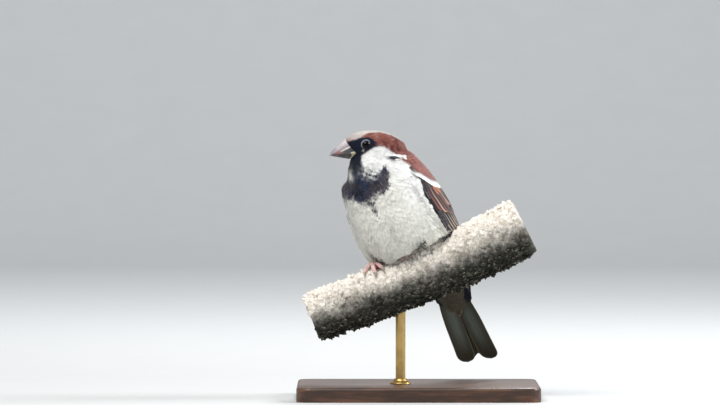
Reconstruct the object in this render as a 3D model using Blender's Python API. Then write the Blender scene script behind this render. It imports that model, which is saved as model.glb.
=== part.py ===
"""A male house sparrow, life size, perched on a short cut length of branch over a plain display stand.

Metres, +Z up. The perch runs along X and rises towards +X, the bird's breast faces -Y, and the origin is
the middle of the stand's underside.
"""

from math import cos, pi, radians, sin

import bmesh
import bpy
from mathutils import Matrix, Vector

MM = 0.001
GAP = 0.3 * MM  # between neighbouring solids

# Perch: a cut length of a rough branch, a little bowed, thicker at its upper end
PERCH_HALF_RUN = 54.5 * MM
PERCH_MIDDLE_Z = 62.6 * MM
PERCH_SLOPE = 0.428
PERCH_BOW = 2.2 * MM
PERCH_RADIUS = 14.2 * MM
PERCH_TAPER = 0.026
PERCH_Y = -7 * MM

# Stand
BASE_LENGTH = 124 * MM
BASE_DEPTH = 100 * MM
BASE_HEIGHT = 7.5 * MM
BASE_CORNER = 7 * MM
BASE_EDGE = 1.2 * MM
ROD_RADIUS = 2.5 * MM
ROD_X = -9 * MM

# Trunk: its line runs from the tail's root up to the neck
TAIL_ROOT = Vector((11.2, 26.0, 66.8)) * MM
TRUNK_LEAN = radians(30.5)  # sideways, square to the sloping perch
TRUNK_PITCH = radians(25)  # forwards, over the perch
TRUNK_TURN = radians(32)  # the belly turned to the bird's right

# Tail
TAIL_LEAN = radians(23.7)
TAIL_PITCH = radians(24)
TAIL_TURN = radians(31)
TAIL_LENGTH = 58.5 * MM
TAIL_ROOT_WIDTH = 13 * MM
TAIL_TIP_WIDTH = 24.5 * MM
TAIL_THICKNESS = 1.5 * MM
TAIL_NOTCH = 4.0 * MM
TAIL_CORNER = 3.4 * MM

# Head and bill
HEAD_BASE = Vector((-36.4, -12.5, 127.4)) * MM  # where the bill's middle line enters the feathers
HEAD_TURN = radians(70)
HEAD_DIP = radians(3)
HEAD_ROLL = radians(0)
BILL_LENGTH = 9.0 * MM
BILL_DEPTH = 9.4 * MM
BILL_WIDTH = 7.6 * MM
BILL_DIP = radians(15.5)
EYE_RADIUS = 2.9 * MM
EYE_BACK = 8.3 * MM
EYE_UP = 2.2 * MM
EYE_OUT = 5.6 * MM

# Feet: where each stands along the perch, and its toes
FOOT_X = {"right": -15.5 * MM, "left": 1.5 * MM}
FOOT_BACK = 1.5 * MM
TOE_RADIUS = 0.95 * MM
BELLY_CLEAR = 0.9 * MM  # between the belly and the bark
BELLY_HANG = 13 * MM  # how far in front of the perch the belly is still held up at its top's height
SHANK_RADIUS = 1.15 * MM
SHANK_LENGTH = 8 * MM

RING = 26  # points round a soft section

# Sections of the trunk: distance up its line, shift of the middle to the belly, half depth, half width
TRUNK_SECTIONS = (
    (0, 1.5, 7.0, 11.5),
    (8, 4.8, 12.3, 17.0),
    (17, 7.4, 18.2, 22.4),
    (26, 9.2, 22.4, 25.2),
    (36, 9.6, 24.0, 26.2),
    (46, 8.8, 24.0, 25.8),
    (55, 7.8, 22.6, 23.6),
    (63, 6.6, 19.8, 20.6),
    (67, 6.0, 18.2, 18.8),
)
# Sections of the tail's coverts: distance down the tail, half depth, half width
COVERT_SECTIONS = ((27, 1.0, 3.6), (18, 2.4, 6.4), (8, 4.6, 9.0))
# Sections of the head: distance behind the bill's base, height of crown, depth of throat, half width
HEAD_SECTIONS = (
    (-0.6, 4.4, 3.8, 3.2),
    (0.6, 6.0, 4.7, 4.2),
    (3, 7.9, 6.2, 5.6),
    (7, 9.1, 7.8, 7.2),
    (12, 9.3, 8.8, 8.5),
    (16.5, 8.9, 9.2, 9.0),
    (20.5, 7.9, 8.8, 8.8),
    (24.5, 6.2, 7.8, 7.9),
    (28, 4.0, 6.0, 6.2),
    (30.5, 1.6, 3.2, 3.4),
)
# Sections of the neck: share of the way from trunk to head, shift forwards, half depth, half width
NECK_SECTIONS = (
    (0, 0.0, 18.2, 18.8),
    (0.25, 1.0, 17.2, 17.2),
    (0.6, 2.2, 14.6, 14.0),
    (0.85, 1.6, 11.4, 10.6),
    (1, 0.4, 8.0, 7.6),
)
# The folded wing: distance along the trunk's line, edge by the belly and edge by the back as angles
# from the belly's middle line, half depth and half width of the surface that it lies on, its thickness
WING_SECTIONS = (
    (63.5, 84, 101, 19.6, 20.6, 1.3),
    (60, 72, 122, 21.2, 22.2, 2.2),
    (52, 67, 142, 23.0, 24.2, 2.8),
    (38, 68, 156, 24.2, 25.9, 2.8),
    (28, 70, 163, 23.0, 25.4, 2.6),
    (17, 75, 168, 18.8, 22.8, 2.4),
    (8, 81, 170, 14.0, 18.6, 2.2),
    (-1, 88, 170, 9.8, 15.2, 2.0),
    (-10, 95, 166, 8.4, 12.8, 1.6),
    (-18, 101, 156, 7.2, 10.8, 1.3),
    (-24, 110, 134, 6.4, 9.4, 1.2),
)
WING_TUCK = {"right": 10, "left": 0}  # degrees that each wing's tip is drawn in over the tail


# Placing ---------------------------------------------------------------------------------------------


def body_axes(lean, pitch, turn):
    """(along, belly, left) for a part whose line leans right and forwards, turned about that line."""
    along = Vector((-sin(lean) * cos(pitch), -sin(pitch), cos(lean) * cos(pitch)))
    side = Vector((cos(lean), 0, sin(lean)))
    front = side.cross(along).normalized()
    return along, front * cos(turn) - side * sin(turn), side * cos(turn) + front * sin(turn)


ALONG, BELLY, LEFT = body_axes(TRUNK_LEAN, TRUNK_PITCH, TRUNK_TURN)
TAIL_UP, TAIL_UNDER, TAIL_LEFT = body_axes(TAIL_LEAN, TAIL_PITCH, TAIL_TURN)


def perch_point(x):
    """Middle of the perch at x."""
    share = x / PERCH_HALF_RUN
    return Vector((x, 0, PERCH_MIDDLE_Z + PERCH_SLOPE * x + PERCH_BOW * share * share))


def perch_radius(x):
    return PERCH_RADIUS + PERCH_TAPER * x


def smooth(rows, at):
    """Row of numbers at a place along rows whose first number is the place, on Catmull-Rom curves."""
    rows = sorted(rows)
    at = min(max(at, rows[0][0]), rows[-1][0])
    i = max(k for k in range(len(rows) - 1) if rows[k][0] <= at)
    before, a, b, after = rows[max(i - 1, 0)], rows[i], rows[i + 1], rows[min(i + 2, len(rows) - 1)]
    span = b[0] - a[0]
    t = (at - a[0]) / span
    values = []
    for k in range(1, len(a)):
        ma = (b[k] - before[k]) / (b[0] - before[0]) * span
        mb = (after[k] - a[k]) / (after[0] - a[0]) * span
        values.append(
            (2 * t**3 - 3 * t**2 + 1) * a[k]
            + (t**3 - 2 * t**2 + t) * ma
            + (3 * t**2 - 2 * t**3) * b[k]
            + (t**3 - t**2) * mb
        )
    return values


def steps(first, last, count):
    return [first + (last - first) * i / (count - 1) for i in range(count)]


# Making solids ---------------------------------------------------------------------------------------


def new_object(name, mesh, collection):
    made = bpy.data.objects.new(name, mesh)
    collection.objects.link(made)
    return made


def loft(name, rings, collection):
    """A closed solid through rings of equal count, each end closed by a fan."""
    shape = bmesh.new()
    rows = [[shape.verts.new(p) for p in ring] for ring in rings]
    count = len(rows[0])
    for low, high in zip(rows, rows[1:]):
        for i in range(count):
            j = (i + 1) % count
            shape.faces.new((low[i], low[j], high[j], high[i]))
    for row in (rows[0], rows[-1]):
        middle = shape.verts.new(sum((v.co for v in row), Vector()) / count)
        for i in range(count):
            shape.faces.new((row[i], row[(i + 1) % count], middle))
    bmesh.ops.recalc_face_normals(shape, faces=shape.faces)
    mesh = bpy.data.meshes.new(name)
    shape.to_mesh(mesh)
    shape.free()
    return new_object(name, mesh, collection)


def primitive(name, make, matrix, collection, **sizes):
    """A bmesh primitive, placed by its mesh."""
    shape = bmesh.new()
    make(shape, matrix=matrix, **sizes)
    mesh = bpy.data.meshes.new(name)
    shape.to_mesh(mesh)
    shape.free()
    return new_object(name, mesh, collection)


def boolean(target, other, operation):
    """Cuts or joins at once, and keeps the result as target's mesh."""
    modifier = target.modifiers.new(operation.title(), "BOOLEAN")
    modifier.operation = operation
    modifier.object = other
    bpy.context.view_layer.update()
    evaluated = target.evaluated_get(bpy.context.evaluated_depsgraph_get())
    mesh = bpy.data.meshes.new_from_object(evaluated)
    target.modifiers.clear()
    target.data = mesh
    shape = bmesh.new()
    shape.from_mesh(mesh)
    bmesh.ops.remove_doubles(shape, verts=shape.verts, dist=0.004 * MM)
    bmesh.ops.dissolve_degenerate(shape, edges=shape.edges, dist=0.002 * MM)
    shape.to_mesh(mesh)
    shape.free()


def join(target, others):
    for other in others:
        boolean(target, other, "UNION")
        bpy.data.objects.remove(other)


def keep_largest(target):
    """Deletes the loose slivers that a cut can leave beside the main solid."""
    shape = bmesh.new()
    shape.from_mesh(target.data)
    left, islands = set(shape.verts), []
    while left:
        island, front = set(), [left.pop()]
        while front:
            vertex = front.pop()
            island.add(vertex)
            for edge in vertex.link_edges:
                other = edge.other_vert(vertex)
                if other in left:
                    left.remove(other)
                    front.append(other)
        islands.append(island)
    islands.sort(key=len)
    for island in islands[:-1]:
        bmesh.ops.delete(shape, geom=list(island), context="VERTS")
    shape.to_mesh(target.data)
    shape.free()


def finish(target, colour, roughness, metallic=0.0):
    """One plain material, shaded smooth but for sharp edges."""
    material = bpy.data.materials.new(target.name)
    material.use_nodes = True
    shader = material.node_tree.nodes["Principled BSDF"]
    shader.inputs["Base Color"].default_value = (*colour, 1)
    shader.inputs["Roughness"].default_value = roughness
    shader.inputs["Metallic"].default_value = metallic
    material.diffuse_color = (*colour, 1)
    target.data.materials.clear()
    target.data.materials.append(material)
    target.data.shade_smooth()
    target.data.set_sharp_from_angle(angle=radians(50))


# Trunk and neck --------------------------------------------------------------------------------------


def trunk_middle(distance, shift):
    """Middle of a trunk section: distance and shift in mm."""
    return TAIL_ROOT + (ALONG * distance + BELLY * shift) * MM


def oval(middle, belly, left, depth, width, count=RING):
    """Ring from the belly's middle line round by the left side."""
    return [
        middle + belly * depth * cos(2 * pi * i / count) + left * width * sin(2 * pi * i / count)
        for i in range(count)
    ]


def trunk_rings():
    """From the tips of the tail's coverts up to the neck's base."""
    rings = []
    for down in steps(COVERT_SECTIONS[0][0], COVERT_SECTIONS[-1][0], 5):
        depth, width = smooth(COVERT_SECTIONS, down)
        middle = TAIL_ROOT - TAIL_UP * down * MM
        rings.append(oval(middle, TAIL_UNDER, TAIL_LEFT, depth * MM, width * MM))
    for distance in steps(TRUNK_SECTIONS[0][0], TRUNK_SECTIONS[-1][0], 15):
        shift, depth, width = smooth(TRUNK_SECTIONS, distance)
        middle = trunk_middle(distance, shift)
        rings.append(oval(middle, BELLY, LEFT, depth * MM, width * MM))
    return rings


def make_trunk(parts):
    return loft("trunk", trunk_rings(), parts)


def make_neck(parts):
    """From the trunk's last section up into the back of the head."""
    last = TRUNK_SECTIONS[-1]
    low = trunk_middle(last[0], last[1]) + ALONG * GAP
    forward, up, left = head_axes()
    high = HEAD_BASE - forward * 17 * MM + up * 0.5 * MM
    rings = []
    for t in steps(0, 1, 8):
        shift, depth, width = smooth(NECK_SECTIONS, t)
        ease = t * t * (3 - 2 * t)
        belly = BELLY.lerp(forward, ease).normalized()
        side = LEFT.lerp(left, ease).normalized()
        middle = low.lerp(high, t) + belly * shift * MM
        rings.append(oval(middle, belly, side, depth * MM, width * MM))
    return loft("neck", rings, parts)


# Head ------------------------------------------------------------------------------------------------


def head_axes():
    """(forward, up, left) of the head, turned to look over the bird's right shoulder."""
    forward = Vector((-sin(HEAD_TURN) * cos(HEAD_DIP), -cos(HEAD_TURN) * cos(HEAD_DIP), -sin(HEAD_DIP)))
    left = Vector((cos(HEAD_TURN), -sin(HEAD_TURN), 0))
    up = forward.cross(left)
    turn = Matrix.Rotation(HEAD_ROLL, 3, forward)
    return forward, turn @ up, turn @ left


def head_ring(back, grow=0.0):
    crown, throat, width = smooth(HEAD_SECTIONS, back)
    forward, up, left = head_axes()
    middle = HEAD_BASE - forward * back * MM
    ring = []
    for i in range(RING):
        angle = 2 * pi * i / RING
        high = (crown if cos(angle) > 0 else throat) * MM + grow
        ring.append(middle + up * high * cos(angle) + left * (width * MM + grow) * sin(angle))
    return ring


def make_head(parts, name="head", grow=0.0):
    first, last = HEAD_SECTIONS[0][0], HEAD_SECTIONS[-1][0]
    rings = [head_ring(back, grow) for back in steps(first, last, 14)]
    if grow:
        forward = head_axes()[0]
        rings[0] = [p + forward * grow for p in rings[0]]
        rings[-1] = [p - forward * grow for p in rings[-1]]
    return loft(name, rings, parts)


def eye_middle(side):
    forward, up, left = head_axes()
    return HEAD_BASE - forward * EYE_BACK + up * EYE_UP + left * side * EYE_OUT


def make_eye(name, side, collection, grow=0.0):
    return primitive(
        name,
        bmesh.ops.create_uvsphere,
        Matrix.Translation(eye_middle(side)),
        collection,
        u_segments=16,
        v_segments=10,
        radius=EYE_RADIUS + grow,
    )


def bill_half(name, above, collection, grow=0.0):
    """Upper or lower mandible: a D section that shrinks along a drooping line to the tip."""
    forward, up, left = head_axes()
    dip = Matrix.Rotation(BILL_DIP, 3, left)
    forward, up = dip @ forward, dip @ up
    sign = 1 if above else -1
    full = (0.56 if above else 0.44) * BILL_DEPTH
    reach = BILL_LENGTH * (1.0 if above else 0.93)
    arc = 10
    rings = []
    for t in steps(-0.34, 1, 9):
        share = max(0.0, 1 - max(t, 0) ** 1.25) ** 0.82
        share = max(share, 0.06)
        middle = HEAD_BASE + forward * (reach * t - (grow if t < 0 else 0)) - up * 0.4 * MM * t
        flat = [
            middle + left * (BILL_WIDTH / 2 * share + grow) * cos(pi * k / arc)
            + up * sign * ((full * share + 2 * grow) * sin(pi * k / arc) + GAP / 2 - grow)
            for k in range(arc + 1)
        ]
        rings.append(flat)
    return loft(name, rings, collection)


# Wings and tail --------------------------------------------------------------------------------------


def wing_ring(distance, side, grow=0.0):
    """A thin curved slab section, lying round the trunk's side."""
    low, high, depth, width, thick = smooth(WING_SECTIONS, distance)
    tuck = WING_TUCK["left" if side > 0 else "right"] * min(max((14 - distance) / 24, 0), 1)
    low, high = low + tuck, high + tuck
    if distance >= TRUNK_SECTIONS[0][0]:
        middle = trunk_middle(distance, smooth(TRUNK_SECTIONS, distance)[0])
        belly, left = BELLY, LEFT
    else:
        middle = TAIL_ROOT + (TAIL_UP * distance + BELLY * TRUNK_SECTIONS[0][1]) * MM
        blend = min(1.0, -distance / 12)
        belly = BELLY.lerp(TAIL_UNDER, blend).normalized()
        left = LEFT.lerp(TAIL_LEFT, blend).normalized()
    across = 8
    spread = grow / (width * MM)
    outer, inner = [], []
    for angle in steps(radians(low) - spread, radians(high) + spread, across):
        edge = sin(pi * (angle - radians(low) + spread) / (radians(high - low) + 2 * spread))
        swell = 0.5 + 0.5 * max(edge, 0) ** 0.5
        for row, rise in ((outer, 0.45 * thick * swell * MM + grow), (inner, -0.55 * thick * swell * MM - grow)):
            row.append(
                middle
                + belly * (depth * MM + rise) * cos(angle)
                + left * side * (width * MM + rise) * sin(angle)
            )
    return outer + inner[::-1]


def make_wing(name, side, collection, grow=0.0):
    first, last = WING_SECTIONS[0][0], WING_SECTIONS[-1][0]
    rings = [wing_ring(distance, side, grow) for distance in steps(first, last, 18)]
    return loft(name, rings, collection)


def tail_outline(grow=0.0):
    """Half of the tail's outline from its root to the notch, as (across, down) pairs."""
    root, tip, end = TAIL_ROOT_WIDTH / 2 + grow, TAIL_TIP_WIDTH / 2 + grow, TAIL_LENGTH + grow
    corner = TAIL_CORNER + grow
    points = [(root, 0.0), (root + (tip - root) * 0.52, TAIL_LENGTH * 0.45)]
    for angle in steps(0, 90, 5):
        turn = radians(angle)
        points.append((tip - corner + corner * cos(turn), end - corner + corner * sin(turn)))
    points.append((tip * 0.38, end - TAIL_NOTCH * 0.2))
    points.append((tip * 0.14, end - TAIL_NOTCH * 0.7))
    points.append((0.0, end - TAIL_NOTCH))
    return points


def make_tail(name, collection, grow=0.0):
    """A flat fan with a shallow notch, from a filled outline given a thickness."""
    half = tail_outline(grow)
    outline = half + [(-x, y) for x, y in half[-2::-1]]
    rings = []
    for face in (1, -1):
        rise = TAIL_UNDER * face * (TAIL_THICKNESS / 2 + grow)
        rings.append([TAIL_ROOT + TAIL_LEFT * x - TAIL_UP * y + rise for x, y in outline])
    shape = bmesh.new()
    rows = [[shape.verts.new(p) for p in ring] for ring in rings]
    for row in rows:
        shape.faces.new(row)
    count = len(outline)
    for i in range(count):
        j = (i + 1) % count
        shape.faces.new((rows[0][i], rows[0][j], rows[1][j], rows[1][i]))
    bmesh.ops.recalc_face_normals(shape, faces=shape.faces)
    mesh = bpy.data.meshes.new(name)
    shape.to_mesh(mesh)
    shape.free()
    return new_object(name, mesh, collection)


# Feet ------------------------------------------------------------------------------------------------


def on_perch(x, angle, height):
    """Point over the bark: angle from the perch's top, positive towards the front, height over the bark."""
    slope = (perch_point(x + MM) - perch_point(x - MM)).normalized()
    up = Vector((-slope.z, 0, slope.x))
    return perch_point(x) + (up * cos(angle) - Vector((0, 1, 0)) * sin(angle)) * (perch_radius(x) + height)


def tube(name, points, radii, collection, sides=6):
    """A closed round tube through points, with a radius at each."""
    rings = []
    normal = Vector((1, 0.2, 0.3)).normalized()
    for i, point in enumerate(points):
        along = (points[min(i + 1, len(points) - 1)] - points[max(i - 1, 0)]).normalized()
        first = (normal - along * normal.dot(along)).normalized()
        second = along.cross(first)
        rings.append(
            [
                point + (first * cos(2 * pi * k / sides) + second * sin(2 * pi * k / sides)) * radii[i]
                for k in range(sides)
            ]
        )
    return loft(name, rings, collection)


def toe(name, x, spread, reach, collection, grow=0.0):
    """A toe with its claw, curved over the perch from the foot's pad. Reach is an angle round the bark."""
    start = -FOOT_BACK / PERCH_RADIUS + 0.05 * reach + 0.012 * spread / MM
    points, radii = [], []
    for t in steps(0, 1, 7):
        knuckle = 1 + 0.14 * cos(3 * 2 * pi * t)
        points.append(on_perch(x + spread * (0.1 + 0.9 * t), start + reach * t, TOE_RADIUS + GAP))
        radii.append(TOE_RADIUS * (1.0 - 0.25 * t) * knuckle + grow)
    turn = 1 if reach > 0 else -1
    for t in steps(0.25, 1, 4):
        angle = start + reach + turn * 0.24 * t
        rise = TOE_RADIUS * (1 + 0.9 * sin(pi * t) * 0.8 - 0.65 * t) + GAP
        points.append(on_perch(x + spread * (1 + 0.1 * t), angle, rise))
        radii.append(TOE_RADIUS * 0.58 * (1 - t) + 0.25 * MM + grow)
    return tube(name, points, radii, collection)


def leg_tubes(name, side, collection, grow=0.0):
    """Shank, three toes forwards and one back."""
    x = FOOT_X[side]
    front = radians(52)
    root = on_perch(x, -FOOT_BACK / PERCH_RADIUS, TOE_RADIUS + GAP)
    up = (root - perch_point(x)).normalized()
    top = root + (up * 0.8 + Vector((0, 0.6, 0))).normalized() * (SHANK_LENGTH + grow)
    line = [root - up * 0.2 * MM, root.lerp(top, 0.35), root.lerp(top, 0.7), top]
    widths = [SHANK_RADIUS * share + grow for share in (1.25, 1.0, 1.0, 1.2)]
    return [
        tube(name, line, widths, collection, sides=8),
        toe(name + "_middle", x, -1.0 * MM, front, collection, grow),
        toe(name + "_inner", x, 5.2 * MM, front * 0.86, collection, grow),
        toe(name + "_outer", x, -6.4 * MM, front * 0.86, collection, grow),
        toe(name + "_back", x, 0.8 * MM, -radians(38), collection, grow),
    ]


def make_leg(side, parts):
    shank, *toes = leg_tubes("leg_" + side, side, parts)
    join(shank, toes)
    return shank


# Perch and stand -------------------------------------------------------------------------------------


def make_perch(name, collection, grow=0.0, stretch=0.0, forward=0.0):
    """Rings square to the branch's line. A cutter is stretched past the ends, and widened forwards."""
    rings = []
    reach = PERCH_HALF_RUN + stretch
    for x in steps(-reach, reach, 15):
        slope = (perch_point(x + MM) - perch_point(x - MM)).normalized()
        up = Vector((-slope.z, 0, slope.x))
        radius = perch_radius(x) + grow
        middle = perch_point(x) - Vector((0, forward / 2, 0))
        rings.append(oval(middle, up, Vector((0, 1, 0)), radius, radius + forward / 2))
    return loft(name, rings, collection)


def make_base(parts):
    """A flat plate with rounded corners and a softened edge."""
    base = primitive(
        "stand_base",
        bmesh.ops.create_cube,
        Matrix.Translation((0, 0, BASE_HEIGHT / 2)) @ Matrix.Diagonal((BASE_LENGTH, BASE_DEPTH, BASE_HEIGHT, 1)),
        parts,
        size=1.0,
    )
    shape = bmesh.new()
    shape.from_mesh(base.data)
    upright = [e for e in shape.edges if abs(e.verts[0].co.z - e.verts[1].co.z) > BASE_HEIGHT / 2]
    bmesh.ops.bevel(shape, geom=upright, offset=BASE_CORNER, segments=6, profile=0.5, affect="EDGES")
    rim = [e for e in shape.edges if all(v.co.z > BASE_HEIGHT * 0.9 for v in e.verts)]
    bmesh.ops.bevel(shape, geom=rim, offset=BASE_EDGE, segments=2, profile=0.5, affect="EDGES")
    shape.to_mesh(base.data)
    shape.free()
    return base


def make_rod(parts, cutters):
    """Upright rod from the base to the perch's underside, cut to sit under the bark."""
    foot, top = BASE_HEIGHT + GAP, perch_point(ROD_X).z
    rod = primitive(
        "stand_rod",
        bmesh.ops.create_cone,
        Matrix.Translation((ROD_X, 0, (foot + top) / 2)),
        parts,
        cap_ends=True,
        segments=24,
        radius1=ROD_RADIUS,
        radius2=ROD_RADIUS,
        depth=top - foot,
    )
    boolean(rod, make_perch("perch_round_rod", cutters, grow=GAP, stretch=4 * MM), "DIFFERENCE")
    keep_largest(rod)
    return rod


# Build -----------------------------------------------------------------------------------------------


def clear_scene():
    for obj in list(bpy.data.objects):
        bpy.data.objects.remove(obj)


def new_collection(name):
    made = bpy.data.collections.new(name)
    bpy.context.scene.collection.children.link(made)
    return made


def build():
    clear_scene()
    parts = new_collection("house_sparrow")
    cutters = new_collection("cutters")

    perch = make_perch("perch", parts)
    rod = make_rod(parts, cutters)
    base = make_base(parts)

    trunk = make_trunk(parts)
    neck = make_neck(parts)
    head = make_head(parts)
    tail = make_tail("tail", parts)

    perch_bed = make_perch("perch_bed", cutters, BELLY_CLEAR, stretch=4 * MM)
    boolean(trunk, perch_bed, "DIFFERENCE")
    belly_bed = make_perch("belly_bed", cutters, BELLY_CLEAR, stretch=6 * MM, forward=BELLY_HANG)
    boolean(trunk, belly_bed, "DIFFERENCE")
    tail_bed = make_tail("tail_bed", cutters, grow=GAP)
    boolean(trunk, tail_bed, "DIFFERENCE")
    for side, sign in (("left", 1), ("right", -1)):
        eye = make_eye("eye_" + side, sign, parts)
        finish(eye, (0.012, 0.009, 0.008), 0.06)
        boolean(head, make_eye("socket_" + side, sign, cutters, grow=GAP), "DIFFERENCE")
        wing = make_wing("wing_" + side, sign, parts)
        boolean(wing, perch_bed, "DIFFERENCE")
        boolean(wing, tail_bed, "DIFFERENCE")
        keep_largest(wing)
        boolean(trunk, make_wing("wing_bed_" + side, sign, cutters, grow=GAP), "DIFFERENCE")
        boolean(neck, bpy.data.objects["wing_bed_" + side], "DIFFERENCE")
        finish(wing, (0.30, 0.13, 0.06), 0.75)
        finish(make_leg(side, parts), (0.62, 0.36, 0.30), 0.55)
        for bed in leg_tubes("leg_bed_" + side, side, cutters, grow=GAP):
            boolean(trunk, bed, "DIFFERENCE")
    for name, above, colour in (("bill_upper", True, (0.20, 0.17, 0.16)), ("bill_lower", False, (0.16, 0.14, 0.13))):
        finish(bill_half(name, above, parts), colour, 0.35)
        boolean(head, bill_half(name + "_bed", above, cutters, grow=GAP), "DIFFERENCE")

    head_bed = make_head(cutters, "head_bed", grow=GAP)
    boolean(neck, head_bed, "DIFFERENCE")
    boolean(trunk, head_bed, "DIFFERENCE")
    for target in (trunk, neck, head):
        keep_largest(target)

    finish(trunk, (0.62, 0.60, 0.55), 0.9)
    finish(neck, (0.50, 0.46, 0.42), 0.9)
    finish(head, (0.34, 0.24, 0.20), 0.85)
    finish(tail, (0.17, 0.14, 0.11), 0.7)
    finish(perch, (0.42, 0.38, 0.33), 0.95)
    finish(base, (0.10, 0.055, 0.03), 0.4)
    finish(rod, (0.62, 0.47, 0.22), 0.3, 1.0)

    for cutter in cutters.objects:
        cutter.hide_render = True
        cutter.display_type = "WIRE"
    for made in (*parts.objects, *cutters.objects):
        lift = 0.0 if made.name == "stand_base" else PERCH_Y
        made.data.transform(Matrix.Translation((0, lift, 0)))


build()
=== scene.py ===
# %% [markdown]
# # A cock house sparrow on a cut branch, over a small display stand
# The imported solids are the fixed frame: their sizes and places hold for every piece made here. One skin
# stands for the solids of flesh, feathers are laid on it as real geometry, and the horn, eyes, feet, bark
# and stand are pieces of their own.

import bmesh
import bpy
import numpy as np
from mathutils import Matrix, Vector


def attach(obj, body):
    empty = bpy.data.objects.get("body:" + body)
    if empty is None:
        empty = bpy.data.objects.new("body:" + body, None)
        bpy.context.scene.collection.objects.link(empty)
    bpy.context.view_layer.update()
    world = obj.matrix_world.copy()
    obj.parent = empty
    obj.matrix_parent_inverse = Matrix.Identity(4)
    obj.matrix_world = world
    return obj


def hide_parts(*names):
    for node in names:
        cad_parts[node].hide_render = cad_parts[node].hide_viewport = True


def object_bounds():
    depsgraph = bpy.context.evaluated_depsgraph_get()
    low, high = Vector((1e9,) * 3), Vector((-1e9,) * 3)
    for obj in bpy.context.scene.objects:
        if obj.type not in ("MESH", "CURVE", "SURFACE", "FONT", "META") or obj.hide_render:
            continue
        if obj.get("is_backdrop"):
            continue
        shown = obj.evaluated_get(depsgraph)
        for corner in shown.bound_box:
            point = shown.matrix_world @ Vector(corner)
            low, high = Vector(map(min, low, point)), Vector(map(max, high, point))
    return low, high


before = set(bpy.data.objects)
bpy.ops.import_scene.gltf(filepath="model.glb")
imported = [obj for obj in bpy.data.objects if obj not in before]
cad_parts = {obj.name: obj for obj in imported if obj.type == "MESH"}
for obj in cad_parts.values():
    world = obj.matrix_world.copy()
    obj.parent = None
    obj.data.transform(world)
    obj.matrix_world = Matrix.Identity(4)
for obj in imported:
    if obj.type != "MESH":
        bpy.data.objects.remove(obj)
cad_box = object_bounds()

print("solids:", ", ".join(sorted(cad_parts)))

# %% [markdown]
# Lengths are in millimetres until a mesh is made. The bird leans along the line of its trunk, so most
# things on it are placed by three directions: along the line, towards the belly, and to its left.


# %% Directions of the trunk, tail and head
MM = 0.001


def unit(v):
    v = np.asarray(v, float)
    return v / np.maximum(np.linalg.norm(v, axis=-1, keepdims=True), 1e-9)


def body_axes(lean, pitch, turn):
    """Directions along, to the belly and to the left of a part that leans, pitches and turns (degrees)."""
    lean, pitch, turn = np.radians((lean, pitch, turn))
    along = np.array((-np.sin(lean) * np.cos(pitch), -np.sin(pitch), np.cos(lean) * np.cos(pitch)))
    side = np.array((np.cos(lean), 0, np.sin(lean)))
    front = unit(np.cross(side, along))
    return along, front * np.cos(turn) - side * np.sin(turn), side * np.cos(turn) + front * np.sin(turn)


ALONG, BELLY, LEFT = body_axes(30.5, 25, 32)
TAIL_UP, TAIL_UNDER, TAIL_LEFT = body_axes(23.7, 24, 31)
TAIL_ROOT = np.array((11.2, 19.0, 66.8))
HEAD_BASE = np.array((-36.4, -19.5, 127.4))
TURN, DIP = np.radians((70, 3))
FORWARD = np.array((-np.sin(TURN) * np.cos(DIP), -np.cos(TURN) * np.cos(DIP), -np.sin(DIP)))
HEAD_LEFT = np.array((np.cos(TURN), -np.sin(TURN), 0))
HEAD_UP = np.cross(FORWARD, HEAD_LEFT)
print("the head looks along", FORWARD.round(2), "and the trunk rises along", ALONG.round(2))


# %% Sections that carry the forms, as in the solids
TRUNK_TOP = 67
TRUNK_SECTIONS = (  # up the line, shift to the belly, half depth, half width
    (0, 1.5, 7.0, 11.5), (8, 4.8, 12.3, 17.0), (17, 7.4, 18.2, 22.4), (26, 9.2, 22.4, 25.2),
    (36, 9.6, 24.0, 26.2), (46, 8.8, 24.0, 25.8), (55, 7.8, 22.6, 23.6), (63, 6.6, 19.8, 20.6),
    (TRUNK_TOP, 6.0, 18.2, 18.8),
)
COVERT_SECTIONS = ((27, 1.0, 3.6), (18, 2.4, 6.4), (8, 4.6, 9.0))  # down the tail, half depth, half width
HEAD_SECTIONS = (  # behind the bill's base, up to the crown, down to the throat, half width
    (-0.6, 4.4, 3.8, 3.2), (0.6, 6.0, 4.7, 4.2), (3, 7.9, 6.2, 5.6), (7, 9.1, 7.8, 7.2), (12, 9.3, 8.8, 8.5),
    (16.5, 8.9, 9.2, 9.0), (20.5, 7.9, 8.8, 8.8), (24.5, 6.2, 7.8, 7.9), (28, 4.0, 6.0, 6.2),
    (30.5, 1.6, 3.2, 3.4),
)
FRONT_LINE = (  # height on the head's front, how far it lies back
    (-8, 0.3), (-6, 0.8), (-4.6, 2.0), (-3, 2.9), (-1.2, 2.3), (1, 0.9), (4, -0.6), (6, -1.1), (8, -1.2))
NECK_SECTIONS = (  # share of the way up, shift to the belly, half depth, half width
    (0, 0.0, 18.2, 18.8), (0.25, 1.0, 17.2, 17.2), (0.6, 2.2, 14.6, 14.0), (0.85, 1.6, 11.4, 10.6),
    (1, 0.4, 8.0, 7.6),
)
WING_SECTIONS = (  # up the line, angles of the belly's and the back's edge, half depth and width, thickness
    (63.5, 84, 101, 19.6, 20.6, 1.3), (60, 72, 122, 21.2, 22.2, 2.2), (52, 67, 142, 23.0, 24.2, 2.8),
    (38, 68, 156, 24.2, 25.9, 2.8), (28, 70, 163, 23.0, 25.4, 2.6), (17, 75, 168, 18.8, 22.8, 2.4),
    (8, 81, 170, 14.0, 18.6, 2.2), (-1, 88, 170, 9.8, 15.2, 2.0), (-10, 95, 166, 8.4, 12.8, 1.6),
    (-18, 101, 156, 7.2, 10.8, 1.3), (-24, 110, 134, 6.4, 9.4, 1.2),
)


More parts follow.
